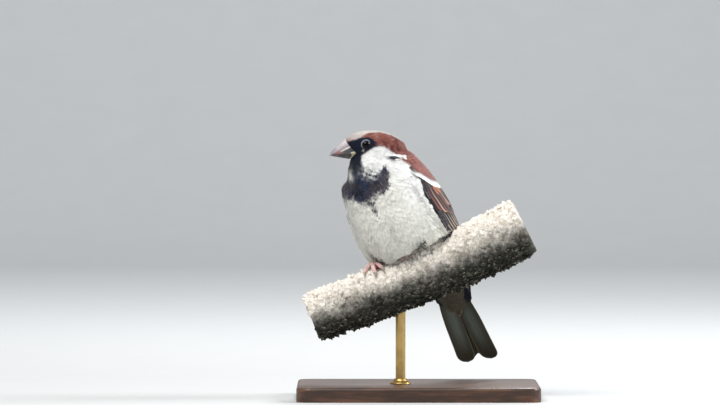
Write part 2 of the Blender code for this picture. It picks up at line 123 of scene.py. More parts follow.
def smooth(rows, at):
    """Values between rows, whose first column is the place, on Catmull-Rom curves; one for each column."""
    rows = np.array(sorted(rows), float)
    place = rows[:, 0]
    at = np.clip(np.asarray(at, float), place[0], place[-1])
    i = np.clip(np.searchsorted(place, at, side="right") - 1, 0, len(rows) - 2)
    a, b = rows[i], rows[i + 1]
    before, after = rows[np.maximum(i - 1, 0)], rows[np.minimum(i + 2, len(rows) - 1)]
    span = b[..., :1] - a[..., :1]
    t = (at[..., None] - a[..., :1]) / span
    ma = (b - before) / (b[..., :1] - before[..., :1]) * span
    mb = (after - a) / (after[..., :1] - a[..., :1]) * span
    value = (2 * t**3 - 3 * t**2 + 1) * a + (t**3 - 2 * t**2 + t) * ma
    value = value + (3 * t**2 - 2 * t**3) * b + (t**3 - t**2) * mb
    return value[..., 1:]


def wing_section(s):
    """Belly's edge, back's edge (degrees), half depth and half width of the folded wing."""
    return np.moveaxis(smooth(WING_SECTIONS, s), -1, 0)[:4]


def ease(low, high, at):
    """0 below low, 1 above high, and a soft step between."""
    t = np.clip((np.asarray(at, float) - low) / (high - low), 0, 1)
    return t * t * (3 - 2 * t)


def between(value, low, high, soft):
    return ease(low - soft, low + soft, value) * (1 - ease(high - soft, high + soft, value))


def hump(*terms):
    """A soft hump of height 1, from (value, middle, width) for each direction."""
    return np.exp(-sum(((value - middle) / width) ** 2 for value, middle, width in terms))


def circle(count):
    return np.linspace(0, 2 * np.pi, count, endpoint=False)


# %% [markdown]
# The branch is a curved, slightly tapering cylinder. Every feather and toe has to stay out of it, so its
# middle line and radius come first, with a function that moves points clear of it.

# %% The branch's line, and keeping clear of it
PERCH_HALF_RUN, PERCH_Y, PERCH_MIDDLE_Z, PERCH_SLOPE, PERCH_BOW = 54.5, -7.0, 62.6, 0.428, 2.2
PERCH_RADIUS, PERCH_TAPER = 14.2, 0.026
PERCH_LINE = unit((1, 0, PERCH_SLOPE))
# how far the belly hangs in front of the branch's top, by x: two lobes by the right foot, a notch by the left
DROOP = ((-60, 1.5), (-27, 2.6), (-22.5, 2.2), (-20, 0.0), (-17.5, 0.2), (-15, 3.2), (-12.5, 2.6), (-10, 0.4),
         (-4, 0.2), (-2, -1.4), (1.5, -1.4), (3.5, 0.3), (60, 0.4))


def perch_point(x):
    x = np.asarray(x, float)
    rise = PERCH_MIDDLE_Z + PERCH_SLOPE * x + PERCH_BOW * (x / PERCH_HALF_RUN) ** 2
    return np.stack((x, x * 0 + PERCH_Y, rise), -1)


def perch_radius(x):
    return PERCH_RADIUS + PERCH_TAPER * np.asarray(x, float)


def perch_frame(x):
    """The branch's middle at x, its direction, and up from it."""
    x = np.asarray(x, float)
    slope = unit(perch_point(x + 0.5) - perch_point(x - 0.5))
    return perch_point(x), slope, np.stack((-slope[..., 2], slope[..., 1] * 0, slope[..., 0]), -1)


def droop_at(p):
    return smooth(DROOP, p[:, 0])[:, 0]


def clear_of_perch(p, gap, hang, droop):
    """Points pushed out of the branch, and out of the space just in front of its top but for the droop."""
    p = np.array(p, float)
    for forward in (hang, 0.0):
        x = p[:, 0] + (p - perch_point(p[:, 0])) @ PERCH_LINE * PERCH_LINE[0]
        middle, _, up = perch_frame(x)
        radius = perch_radius(x) + gap - (droop if forward else 0.0)
        off = p - middle
        high, back = (off * up).sum(1), off[:, 1] + forward / 2
        share = np.sqrt((high / radius) ** 2 + (back / (radius + forward / 2)) ** 2)
        near = (share < 1) & ((high > -2) | (forward == 0))
        grow = np.where(near, 1 / np.maximum(share, 0.2), 1)
        p += up * (high * (grow - 1))[:, None]
        p[:, 1] += back * (grow - 1)
    return p


print("branch: %.1f mm thick in the middle, rising %.0f mm over its length"
      % (2 * perch_radius(0), 2 * PERCH_SLOPE * PERCH_HALF_RUN))

# %% [markdown]
# Every mesh is made from arrays of points in millimetres. A loft joins rings of points into a closed form,
# which suits limbs, heads and branches alike.


# %% Making meshes from arrays
def linked(name, data):
    piece = bpy.data.objects.new(name, data)
    bpy.context.scene.collection.objects.link(piece)
    return piece


def new_piece(name, points, faces, rounded_faces=True):
    mesh = bpy.data.meshes.new(name)
    mesh.from_pydata((np.asarray(points, float) * MM).tolist(), [], [tuple(map(int, f)) for f in faces])
    mesh.validate()
    mesh.polygons.foreach_set("use_smooth", [rounded_faces] * len(mesh.polygons))
    return linked(name, mesh)


def quads(rows, columns, closed=True, start=0):
    """Faces of a grid of points, closed round each row or open."""
    r, c = np.meshgrid(np.arange(rows - 1), np.arange(columns if closed else columns - 1), indexing="ij")
    here, beside = r * columns + c, r * columns + (c + 1) % columns
    return (start + np.stack((here, beside, beside + columns, here + columns), -1)).reshape(-1, 4)


def loft(rings):
    """Points and faces of a closed form through rings of equal count, with a fan at each end."""
    rings = np.asarray(rings, float)
    rows, count, _ = rings.shape
    points = np.concatenate((rings.reshape(-1, 3), rings[:1].mean(1), rings[-1:].mean(1)))
    k, top = np.arange(count), (rows - 1) * count
    low = np.stack(((k + 1) % count, k, k * 0 + rows * count), -1)
    high = np.stack((top + k, top + (k + 1) % count, k * 0 + rows * count + 1), -1)
    return points, [*map(tuple, quads(rows, count)), *map(tuple, low), *map(tuple, high)]


def joined(parts):
    """Several lots of points and faces as one."""
    points, faces, count = [], [], 0
    for more, their in parts:
        points.append(more)
        faces += [tuple(i + count for i in f) for f in their]
        count += len(more)
    return np.concatenate(points), faces


def edit(piece, change):
    """Works a change into the piece's mesh through bmesh."""
    shape = bmesh.new()
    shape.from_mesh(piece.data)
    change(shape)
    shape.to_mesh(piece.data)
    shape.free()
    return piece


def recalculated(piece):
    """Merges doubles and turns every face outwards."""
    def change(shape):
        bmesh.ops.remove_doubles(shape, verts=shape.verts, dist=0.01 * MM)
        bmesh.ops.recalc_face_normals(shape, faces=shape.faces)
    return edit(piece, change)


def applied(piece):
    """The piece's mesh with its modifiers worked in."""
    bpy.context.view_layer.update()
    mesh = bpy.data.meshes.new_from_object(piece.evaluated_get(bpy.context.evaluated_depsgraph_get()))
    piece.modifiers.clear()
    piece.data = mesh
    return piece


def read(items, field):
    values = np.empty(len(items) * 3)
    items.foreach_get(field, values)
    return values.reshape(-1, 3)


def points_of(mesh):
    return read(mesh.vertices, "co") / MM


def normals_of(mesh):
    return read(mesh.vertex_normals, "vector")


def move_points(piece, p):
    piece.data.vertices.foreach_set("co", (p * MM).ravel())
    piece.data.update()


def triangles(piece):
    return sum(len(f.vertices) - 2 for f in piece.data.polygons)


# %% [markdown]
# Under the feathers is one skin. It starts as the same lofts as the solids: trunk with tail coverts, neck,
# head, and the two folded wings. A voxel remesh melts them into one closed surface, and smoothing takes out
# the creases where they met. One surface, not five, is what keeps seams out of the coat.


# %% The rings of the flesh
RING = 44


def oval(middle, up, side, high, wide, count=RING):
    a = circle(count)[:, None]
    return middle + up * high * np.cos(a) + side * wide * np.sin(a)


def trunk_middle(s):
    s = np.asarray(s, float)
    return TAIL_ROOT + ALONG * s[..., None] + BELLY * smooth(TRUNK_SECTIONS, s)[..., :1]


def trunk_form():
    rings = [oval(TAIL_ROOT - TAIL_UP * down, TAIL_UNDER, TAIL_LEFT, *smooth(COVERT_SECTIONS, down))
             for down in np.linspace(26, 8, 7)]
    rings += [oval(trunk_middle(s), BELLY, LEFT, *smooth(TRUNK_SECTIONS, s)[1:]) for s in np.linspace(0, TRUNK_TOP, 26)]
    return loft(rings)


NECK_LOW, NECK_HIGH = trunk_middle(64.0), HEAD_BASE - FORWARD * 17 + HEAD_UP * 0.5


def neck_form():
    rings = []
    for t in np.linspace(0, 1, 16):
        shift, high, wide = smooth(NECK_SECTIONS, t)
        e = t * t * (3 - 2 * t)
        belly, side = unit(BELLY * (1 - e) + FORWARD * e), unit(LEFT * (1 - e) + HEAD_LEFT * e)
        rings.append(oval(NECK_LOW * (1 - t) + NECK_HIGH * t + belly * shift, belly, side, high, wide))
    return loft(rings)


def head_form():
    rings, a = [], circle(RING)[:, None]
    for back in np.linspace(-0.6, 30.5, 30):
        crown, throat, wide = smooth(HEAD_SECTIONS, back)
        tall = np.where(np.cos(a) > 0, crown, throat) * np.cos(a)
        # the forehead comes forward over the bill, the corner of the mouth lies back, the chin comes forward
        recess = smooth(FRONT_LINE, tall[:, 0]) * (1 - ease(0, 7, back))
        rings.append(HEAD_BASE - FORWARD * (back + recess) + HEAD_UP * tall + HEAD_LEFT * wide * np.sin(a))
    return loft(rings)


# %% The folded wing as a surface
def wing_place(s, f, lift, side):
    """Point on a folded wing: s up the trunk's line, f from the edge by the belly (0) to that by the back (1),
    lift over its middle surface."""
    s, f, lift = (np.asarray(v, float) for v in np.broadcast_arrays(s, f, lift))
    edge, far, deep, wide = wing_section(s)
    tuck = (0 if side > 0 else 10) * np.clip((14 - s) / 24, 0, 1)
    a = np.radians(edge + tuck + f * (far - edge))[..., None]
    blend = np.clip(-s / 12, 0, 1)[..., None]
    on_tail = TAIL_ROOT + TAIL_UP * s[..., None] + BELLY * 1.5
    middle = np.where(s[..., None] >= 0, trunk_middle(np.maximum(s, 0)), on_tail)
    belly = unit(BELLY * (1 - blend) + TAIL_UNDER * blend)
    left = unit(LEFT * (1 - blend) + TAIL_LEFT * blend)
    deep, wide = (deep + lift)[..., None], (wide + lift)[..., None]
    return middle + belly * deep * np.cos(a) + left * side * wide * np.sin(a)


def wing_arc(s):
    """Length of the wing's surface from edge to edge, in mm."""
    edge, far, deep, wide = wing_section(s)
    return np.radians(far - edge) * (deep + wide) / 2


def wing_form(side):
    rings, f = [], np.linspace(0.06, 0.94, 12)
    for s in np.linspace(62, -4, 24):
        rings.append(np.concatenate((wing_place(s, f, -0.5, side), wing_place(s, f, -2.1, side)[::-1])))
    return loft(rings)


# %% One skin from all of them
VOXEL = 0.75


def softened(piece, rounds):
    modifier = piece.modifiers.new("Soften", "SMOOTH")
    modifier.factor, modifier.iterations = 0.5, rounds
    return applied(piece)


flesh = joined([trunk_form(), neck_form(), head_form(), wing_form(1), wing_form(-1)])
skin = recalculated(new_piece("skin", *flesh))
melt = skin.modifiers.new("Melt", "REMESH")
melt.mode, melt.voxel_size = "VOXEL", VOXEL * MM
softened(skin, 10)
print("skin: %d points" % len(skin.data.vertices))

# %% [markdown]
# Where a point of the body lies is told in the bird's own terms. On the trunk and neck that is the distance
# up its line and the angle round it from the belly, and on the head the distances behind the bill, above
# the gape and out to the side. The markings, the lie of the feathers and their lengths are all written in
# these terms, so they are the same for the skin and for the coat.


# %% Body and head coordinates
def on_trunk(p):
    """(distance up the trunk's line, angle from the belly's middle in degrees, positive to the left)"""
    s = (p - TAIL_ROOT) @ ALONG
    on_line = np.clip(s, 0, TRUNK_TOP)
    off = p - trunk_middle(on_line) - ALONG * (s - on_line)[:, None]
    return s, np.degrees(np.arctan2(off @ LEFT, off @ BELLY))


def on_head(p):
    """(behind the bill's base, up, to the left), in mm"""
    off = p - HEAD_BASE
    return -off @ FORWARD, off @ HEAD_UP, off @ HEAD_LEFT


def mottle(p, size, seed):
    """Soft random values from 0 to 1 in space, with blotches of about that size."""
    cells = 24
    grid = np.random.default_rng(seed).random((cells,) * 3)
    at = np.asarray(p) / size
    low = np.floor(at).astype(int)
    t = at - low
    t = t * t * (3 - 2 * t)
    value = 0
    for corner in np.ndindex(2, 2, 2):
        x, y, z = ((low + corner) % cells).T
        weight = np.where(corner, t, 1 - t)
        value = value + weight[:, 0] * weight[:, 1] * weight[:, 2] * grid[x, y, z]
    return value


def streaks(angle, s, round_scale, along_scale, size, seed):
    """Mottling drawn out along the body."""
    return mottle(np.stack((angle * round_scale, s * along_scale, s * 0), -1), size, seed)


# %% [markdown]
# Colours are named as a painter of birds would name them. They are written as display values from 0 to 255
# and turned into linear light here.


# %% Palette
def paint(red, green, blue):
    c = np.array((red, green, blue)) / 255
    return np.where(c <= 0.04045, c / 12.92, ((c + 0.055) / 1.055) ** 2.4)


WHITE, PEARL, ASH = paint(240, 240, 238), paint(239, 238, 229), paint(220, 217, 201)
CROWN_GREY, RIM_GREY = paint(190, 179, 174), paint(228, 221, 214)
CHESTNUT, DEEP_CHESTNUT, ROSE_BROWN = paint(122, 66, 58), paint(92, 44, 40), paint(166, 118, 108)
RUFOUS, ORANGE_BROWN, BUFF = paint(156, 92, 62), paint(188, 110, 68), paint(208, 178, 146)
SOOT, BIB_BLUE, BIB_FRINGE, BIB_BROWN = paint(18, 23, 38), paint(40, 50, 74), paint(150, 148, 154), paint(74, 66, 72)
UMBER, PAINTED_SHADE_GREY, FLINT, RUMP_GREY = paint(52, 38, 32), paint(44, 47, 42), paint(174, 172, 155), paint(124, 112, 100)
TAIL_BROWN, TAIL_EDGE, TAIL_PAINTED_SHEEN = paint(78, 77, 64), paint(134, 132, 112), paint(128, 142, 136)
DARK_VANE = {share: UMBER * (1 - share) + SOOT * share for share in (0.4, 0.5, 0.6, 0.7, 0.8)}


def mix(a, b, share):
    share = np.asarray(share, float)[..., None]
    return a * (1 - share) + b * share


# %% Markings of the head
def polygon_inside(x, y, corners, soft):
    """1 inside a polygon, 0 outside, soft across its edge."""
    corners = np.array(corners, float)
    inside = np.zeros(len(x), bool)
    nearest = np.full(len(x), 1e9)
    for a, b in zip(corners, np.roll(corners, -1, 0)):
        edge = b - a
        with np.errstate(divide="ignore", invalid="ignore"):
            at = edge[0] * (y - a[1]) / edge[1] + a[0]
        inside ^= ((a[1] > y) != (b[1] > y)) & (x < at)
        t = np.clip(((x - a[0]) * edge[0] + (y - a[1]) * edge[1]) / (edge @ edge), 0, 1)
        nearest = np.minimum(nearest, np.hypot(x - a[0] - t * edge[0], y - a[1] - t * edge[1]))
    return ease(-soft, soft, np.where(inside, nearest, -nearest))


# Outlines on the side of the head: behind the bill's base, and up
MASK = ((-4, 3.6), (-0.5, 4.1), (2, 4.9), (5, 5.7), (8.8, 6.0), (10.7, 5.4), (12.2, 3.4), (12.2, 1.6), (11.2, 0.9),
        (7.6, -0.9), (5.2, -2.8), (4.6, -5.3), (4.9, -8.4), (6.0, -11.4), (8, -12.4), (8, -40), (-12, -40), (-12, 3.6))
CHEEK = ((7.6, -0.9), (11.2, 0.9), (13.5, 1.7), (18.5, 0.8), (22.6, -1.7), (26.6, -3.0), (26, -4.4), (22, -4.2),
         (18.5, -4.3), (14.5, -6.8), (11.6, -9.7), (8.6, -11.0), (6.0, -11.4), (4.9, -8.4), (4.6, -5.3), (5.2, -2.8))
EAR_CORNER = ((16.4, -4.6), (19.5, -3.4), (24.4, -3.6), (25.4, -5.6), (22, -5.6), (18.8, -6.2), (16.6, -6.4))
COLLAR_BITS = ((22.0, -2.4), (26.4, -3.2), (27.0, -4.4), (25.0, -4.5), (22.2, -3.4))
EYE_SPOTS = ((5.6, -0.5), (7.4, -1.2), (9.5, -0.8))


def head_marks(p):
    """Masks of the head's markings: mask round the eye, cheek, crown and spots under the eye."""
    back, up, side = on_head(p)
    wide = np.abs(side)
    ragged = (mottle(p, 1.1, 5) - 0.5) * 1.3
    mask = polygon_inside(back + ragged * 0.5, up + ragged * 0.5, MASK, 0.35) * ease(0.6, 1.6, wide + (4.9 - up) * 1.0)
    cheek = polygon_inside(back + ragged * 0.4, up + ragged * 0.4, CHEEK, 0.4) * ease(2, 4, wide)
    beside_crown = wide - 0.30 * np.clip(10 - back, 0, 9) + 0.05 * np.clip(back - 11, 0, 12) + ragged * 0.6
    crown = (1 - ease(2.9, 4.3, beside_crown)) * ease(4.0, 5.4, up + 0.5 * (back > 16))
    spots = sum(hump((back, x, 0.24), (up, y, 0.24)) for x, y in EYE_SPOTS)
    return mask, cheek, crown, np.clip(spots, 0, 1) * (wide > 4)


# %% Markings of the whole bird
def markings(p):
    """Colours and feather sizes at points in mm: tone, edge, trim (edge width, tip length, streak), reach, girth
    and coat depth."""
    s, angle = on_trunk(p)
    back, up, side = on_head(p)
    around, wide = np.abs(angle), np.abs(side)
    blot, fine = mottle(p, 4.0, 1), mottle(p, 1.4, 2)
    wander = (mottle(p, 2.2, 3) - 0.5) * 2 + (fine - 0.5) * 1.2

    # belly and breast
    tone = mix(PEARL, WHITE, ease(30, 75, around) * ease(34, 60, s))
    tone = mix(tone, ASH, 0.75 * (1 - ease(26, 46, s + 6 * (blot - 0.5))) + 0.25 * ease(0.55, 0.9, blot))
    long = 0.45 * ease(0.5, 0.85, streaks(angle, s, 0.34, 0.06, 1.0, 33)) * (1 - ease(48, 66, s))
    low = 0.12 * (1 - ease(28, 46, s)) + 0.18 * ease(20, 60, -angle) * (1 - ease(44, 58, s))
    tone = mix(tone, FLINT, long + low)
    # painted shade: dark grey-green patches in the gaps between the belly's lobes and the branch, where shadow falls
    gap_shade = np.maximum(hump((s, 38.0, 4.4), (angle + 0.9 * (s - 35), -23, 5.5)), hump((s, 37.5, 3.0), (angle, 38, 4.0)))
    tone = mix(tone, PAINTED_SHADE_GREY, np.clip(gap_shade * 1.5, 0, 1) * 0.92)
    edge = mix(tone, WHITE, 0.28)

    def lay(share, on_tone, on_edge):
        nonlocal tone, edge
        tone, edge = mix(tone, on_tone, share), mix(edge, on_edge, share)

    # under the tail
    vent = 1 - ease(6, 20, s)
    tone, edge = mix(tone, TAIL_BROWN, 0.95 * vent), mix(edge, mix(TAIL_BROWN, BUFF, 0.3), vent)
    # mantle: chestnut with dark streaks, and a grey-brown rump
    mantle = ease(92, 99, around + wander * 1.5) * ease(20, 40, s + wander * 3)
    line = ease(0.54, 0.62, streaks(angle, s, 0.36, 0.08, 1.5, 7)) * (1 - ease(58, 66, s)) * ease(24, 34, s)
    warm = mix(RUFOUS * 0.75, CHESTNUT, ease(40, 60, s + wander * 4))
    lay(mantle, mix(warm, UMBER * 0.8, line), mix(mix(warm, ROSE_BROWN, 0.6), BUFF, 0.55 * (1 - ease(50, 62, s))))
    lay(ease(95, 110, around) * (1 - ease(20, 40, s + wander * 3)), RUMP_GREY, mix(RUMP_GREY, BUFF, 0.4))
    # side of the neck
    nape = ease(96, 106, around + wander * 2) * ease(64, 68, s)
    tone = mix(tone, mix(CHESTNUT, DEEP_CHESTNUT, ease(0.4, 0.7, mottle(p, 2.0, 15))), nape * 0.95)
    edge = mix(edge, ROSE_BROWN, nape)

    # bib
    off = np.where(angle > -8, angle + 8, -(angle + 8) / 1.35)
    bottom = 65.6 + 2.7 * (off / 46) ** 3 - 1.6 * ease(28, 44, off) * (angle < -8)
    for depth, at, width in ((0.9, 17, 7), (-1.2, 26, 5), (-1.2, -18, 5), (1.0, -30, 5)):
        bottom = bottom + depth * hump((angle, at, width))
    bib = ease(-0.9, 0.9, s - bottom + wander * 1.3) * (1 - ease(73, 82, off + wander * 3))
    bib = bib * ease(60, 62, s) * (1 - ease(80, 84, s))
    brown = 0.75 * ease(0.3, 0.75, mottle(p, 3.0, 12) + 0.012 * (off - 22)) * (1 - ease(70, 76, s))
    bib_tone = mix(mix(BIB_BLUE, SOOT, ease(0.35, 0.8, blot)), BIB_BROWN, brown)
    fringe = 0.35 + 0.65 * ease(0.35, 0.7, mottle(p, 1.8, 11))
    fringe = fringe * (1 - ease(71, 78, s)) * (0.45 + 0.55 * ease(10, 45, off))
    lay(bib, bib_tone, mix(bib_tone, BIB_FRINGE, fringe))
    dash = between(angle + 0.12 * (s - 58), 3.8, 7.0, 0.5) * ease(54.6, 55.6, s) * (1 - ease(66, 68, s))
    lay(dash, SOOT, BIB_BLUE)

    # head
    mask, cheek, crown, spots = head_marks(p)
    upper = ease(-3.5, -1.5, up + 0.18 * (back - 12)) * ease(72, 75, s + 0.3 * up)
    warm = mix(CHESTNUT, DEEP_CHESTNUT, ease(0.42, 0.62, mottle(p, 1.7, 14)))
    warm = mix(warm, ROSE_BROWN, 0.55 * ease(0.55, 0.8, mottle(p, 1.5, 51)))
    lay(upper * (1 - cheek), warm, mix(ROSE_BROWN, CHESTNUT, ease(0.3, 0.8, fine)))
    lay(crown * upper, CROWN_GREY, RIM_GREY)
    cheek = cheek * ease(70, 73, s)
    lay(cheek, WHITE, WHITE)
    lay(mask * ease(76, 79, s + 0.4 * np.maximum(up, -12) + 3), SOOT, BIB_BLUE)
    lay(spots, FLINT, ASH)
    # under the cheek a patch is barred black and white; beside the throat the breast's white comes up
    barred = np.exp(-(((back - 7.4) / 3.2) ** 2 + ((up + 10.4) / 2.7) ** 2) * 1.2) * (side > 5)
    lines = ease(-0.1, 0.1, np.sin(2.5 * up + 1.2 * back + 2.5 * blot))
    lay(np.clip(barred * 1.6, 0, 1), mix(WHITE, SOOT, lines), mix(BIB_BLUE, WHITE, lines))
    pale = hump((s, 75.6, 1.9), (angle, -50, 13)) * ease(0.2, 0.5, mottle(p, 1.3, 19) + 0.1)
    lay(np.clip(pale * 1.5, 0, 1), PEARL, WHITE)
    # the dark rear corner of the ear coverts, with pale bits of the collar behind it
    rear = polygon_inside(back, up - 1.2 + wander * 0.3, EAR_CORNER, 0.5) * (wide > 6)
    rear = rear * ease(0.3, 0.5, mottle(p, 1.2, 23))
    tone, edge = mix(tone, SOOT, rear), mix(edge, UMBER, rear * 0.8)
    bits = polygon_inside(back, up + wander * 0.5, COLLAR_BITS, 0.4) * (wide > 6)
    lay(bits * ease(0.5, 0.6, mottle(p, 0.9, 29)), WHITE, PEARL)

    # sizes
    face = ease(75, 80, s + 0.35 * up) * (1 - ease(7, 16, back))
    skull = ease(74, 78, s + 0.35 * up)
    reach = 7.2 - 1.6 * ease(48, 62, s) - 2.2 * ease(64, 74, s)
    reach = reach * (1 - skull) + (2.7 - 0.2 * cheek) * skull
    reach = reach * (1 - face) + 1.35 * face + 1.8 * vent
    beside_wing = 0.6 * ease(80, 88, around) * (1 - ease(100, 106, around))
    reach = reach * (1 - beside_wing * ease(54, 57, s) * (1 - ease(69, 73, s)))
    depth = 1.6 - 0.25 * ease(60, 70, s)
    depth = depth * (1 - skull) + 0.75 * skull
    depth = depth * (1 - face) + 0.42 * face
    depth = depth * (0.25 + 0.75 * ease(-2, 22, s))
    streak = 0.12 + 0.2 * (1 - ease(30, 50, s))
    trim = np.stack((0.30 + 0.1 * mantle + 0.15 * vent, 0.22 + 0 * s, streak * (1 - skull)), -1)
    girth = reach * (0.55 - 0.08 * skull)
    return {"tone": tone, "edge": edge, "trim": trim, "reach": reach, "girth": girth, "depth": depth}


# %% [markdown]
# The skin is drawn in by the depth of the coat, so that the feathers' outer surface comes back to the
# solids' outline: about half a millimetre round the bill, and one and a half on the breast.


# %% Drawing the skin in, and shaping brow, lores and cheek
def rounded(p, back, up, side, size):
    """A soft bump with its middle at a place on either side of the head."""
    b, u, w = on_head(p)
    return np.exp(-((b - back) ** 2 + (u - up) ** 2 + (np.abs(w) - side) ** 2) / size**2)


def on_wing(p):
    """1 on the lower part of the skin that is a wing's own, below where it leaves the body."""
    s, angle = on_trunk(p)
    around = np.abs(angle)
    edge, far, deep, wide = wing_section(np.maximum(s, -4))
    off = p - trunk_middle(np.clip(s, 0, TRUNK_TOP))
    share = np.hypot((off @ BELLY) / (deep - 1.3), (off @ LEFT) / (wide - 1.3))
    over = ease(0.86, 0.90, share) * ease(edge - 6, edge - 3, around) * (1 - ease(far + 2, far + 6, around))
    return over * (s < 17) * (s > -7)


def wing_cover(p):
    """1 where a folded wing hides the skin."""
    s, angle = on_trunk(p)
    around = np.abs(angle)
    edge, far, _, _ = wing_section(s)
    edge = edge + 1.0 + 8 * ease(55, 60, s)
    over = ease(edge, edge + 3, around) * (1 - ease(far - 12, far - 5, around))
    return over * ease(8, 12, s) * (1 - ease(-1, 1, s - 59.5 - 3 * ease(88, 96, around)))


EYE_RADIUS, EYE_BACK, EYE_UP, EYE_OUT = 2.9, 8.3, 2.2, 5.35
SWELLINGS = (  # fuller (+) or slimmer (-) than the lofts: height, middle, size
    (2.2, (-4.5, -9.5, 124.5), 7.5),  # nape
    (1.7, (-39.0, -10.0, 107.0), 9.0),  # breast
    (-2.0, (-36.0, -8.0, 83.0), 11.0),  # flank
)

p, n = points_of(skin.data), normals_of(skin.data)
s, angle = on_trunk(p)
marks = markings(p)
depth = marks["depth"] * (1 - 0.5 * wing_cover(p)) * (1 - 0.8 * on_wing(p))
below_wing = hump((np.abs(angle) - wing_section(s)[0], -2, 6))
depth = depth + 0.9 * below_wing * ease(18, 24, s) * (1 - ease(62, 66, s))
p = p - n * depth[:, None]
brow, lores, cheek = rounded(p, 8.2, 6.0, 6.6, 2.0), rounded(p, 3.6, 1.6, 5.2, 2.2), rounded(p, 13.5, -3.0, 8.6, 3.6)
p += n * (0.45 * brow - 0.55 * lores + 0.35 * cheek)[:, None]
back, up, side = on_head(p)
from_eye = np.hypot(back - EYE_BACK, up - EYE_UP)
p += n * (0.35 * hump((from_eye, 3.3, 0.9)) * (np.abs(side) > 3))[:, None]  # a low rim round the eye
for height, middle, size in SWELLINGS:
    p += n * (height * np.exp(-((p - np.array(middle)) ** 2).sum(1) / size**2))[:, None]
move_points(skin, clear_of_perch(p, gap=1.7, hang=13.0, droop=droop_at(p)))
softened(skin, 3)
print("skin lies %.1f to %.1f mm under the coat's surface" % (depth.min(), depth.max()))

# %% [markdown]
# Feathers lie towards the tail: back over the head from the bill, down the neck, and down the trunk. The
# direction is worked out at each point of the skin, turned into its tangent plane, and smoothed by averaging
# with neighbours, which turns it evenly through the curve of the neck.


# %% The lie of the feathers
def averaged(values, edges, rounds):
    """Each value drawn half way to the mean of its neighbours', several times."""
    a, b = edges.T
    count = np.bincount(edges.ravel(), minlength=len(values))
    for _ in range(rounds):
        total = np.stack([np.bincount(a, column[b], len(values)) + np.bincount(b, column[a], len(values))
                          for column in values.T], -1)
        values = 0.5 * values + 0.5 * total / np.maximum(count, 1)[:, None]
    return values


def tangent(v, n):
    return unit(v - n * (v * n).sum(1)[:, None])


def lie_of_feathers(p, n, edges):
    s, angle = on_trunk(p)
    back, up, _ = on_head(p)
    down_neck = unit(NECK_LOW - NECK_HIGH)
    lie = -ALONG
    for share, way in (
        (1 - ease(-8, 6, s), -TAIL_UP),
        (ease(64, 74, s), down_neck),
        (ease(76, 84, s + 0.35 * up), -FORWARD),
        (ease(-3, -6, up) * (1 - ease(4, 9, back)), unit(down_neck - 0.4 * FORWARD)),  # throat
    ):
        lie = mix(lie, way, share)
    flare = between(np.abs(angle), 50, 80, 10) * between(s, 24, 60, 6) * 0.35 * np.sign(angle)
    lie = tangent(lie + LEFT * flare[:, None], n)
    for _ in range(4):
        lie = tangent(averaged(lie, edges, 8), n)
    return lie


p, n = points_of(skin.data), normals_of(skin.data)
edges = np.empty(len(skin.data.edges) * 2, int)
skin.data.edges.foreach_get("vertices", edges)
lie = lie_of_feathers(p, n, edges.reshape(-1, 2))


# %% Handing the markings to the skin
def give(mesh, name, values, kind="FLOAT_VECTOR"):
    """Stores one value for each point of a mesh."""
    values = np.asarray(values, float)
    if kind == "FLOAT_COLOR":
        values = np.concatenate((values, np.ones((len(values), 1))), 1)
    field = {"FLOAT": "value", "FLOAT_VECTOR": "vector", "FLOAT_COLOR": "color"}[kind]
    if name in mesh.attributes:
        mesh.attributes.remove(mesh.attributes[name])
    mesh.attributes.new(name, kind, "POINT").data.foreach_set(field, values.ravel())


def unwrap(p):
    """A plain unwrap of the body: round the trunk and neck across, and from the tail up to the bill."""
    s, angle = on_trunk(p)
    share = ease(74, 84, s)
    v = s * (1 - share) + (80 + (30 - on_head(p)[0]) * 1.2) * share
    return np.stack((0.03 + 0.94 * (angle / 360 + 0.5), 0.02 + 0.96 * (v + 30) / 160, s * 0), -1)


marks = markings(p + n * marks["depth"][:, None] * 0.5)
give(skin.data, "tone", marks["tone"], "FLOAT_COLOR")
give(skin.data, "edge", marks["edge"], "FLOAT_COLOR")
for name, values in (("trim", marks["trim"]), ("lie", lie), ("grow", n), ("unwrap", unwrap(p))):
    give(skin.data, name, values)
for name, values in (("reach", marks["reach"] * MM), ("girth", marks["girth"] * MM),
                     ("crowd", 1 - np.maximum(wing_cover(p), on_wing(p)))):
    give(skin.data, name, values, "FLOAT")
print("markings stored on %d points" % len(p))

# %% [markdown]
# A short class makes shader maths read like sums: a socket wrapped in it can be added, multiplied or taken
# from a number, and each sign adds the Math node for it. One method places every other kind of node.


# %% Writing node trees
class Wire:
    """An output socket that can be used in sums."""

    def __init__(self, tree, socket):
        self.tree, self.socket = tree, socket

    def maths(self, operation, other=None, turned=False):
        values = {0: self} if other is None else ({0: other, 1: self} if turned else {0: self, 1: other})
        return self.tree.node("ShaderNodeMath", {"operation": operation}, values)

    def __add__(self, other): return self.maths("ADD", other)
    def __radd__(self, other): return self.maths("ADD", other)
    def __sub__(self, other): return self.maths("SUBTRACT", other)
    def __rsub__(self, other): return self.maths("SUBTRACT", other, True)
    def __mul__(self, other): return self.maths("MULTIPLY", other)
    def __rmul__(self, other): return self.maths("MULTIPLY", other)
    def __truediv__(self, other): return self.maths("DIVIDE", other)
    def __pow__(self, other): return self.maths("POWER", other)
    def __abs__(self): return self.maths("ABSOLUTE")

    def clamp(self): return self.tree.node("ShaderNodeClamp", {}, {0: self})
    def step(self, low, high):
        return self.tree.node("ShaderNodeMapRange", {"interpolation_type": "SMOOTHSTEP"}, {0: self, 1: low, 2: high})


def colour(c):
    return (*[float(v) for v in c], 1.0)


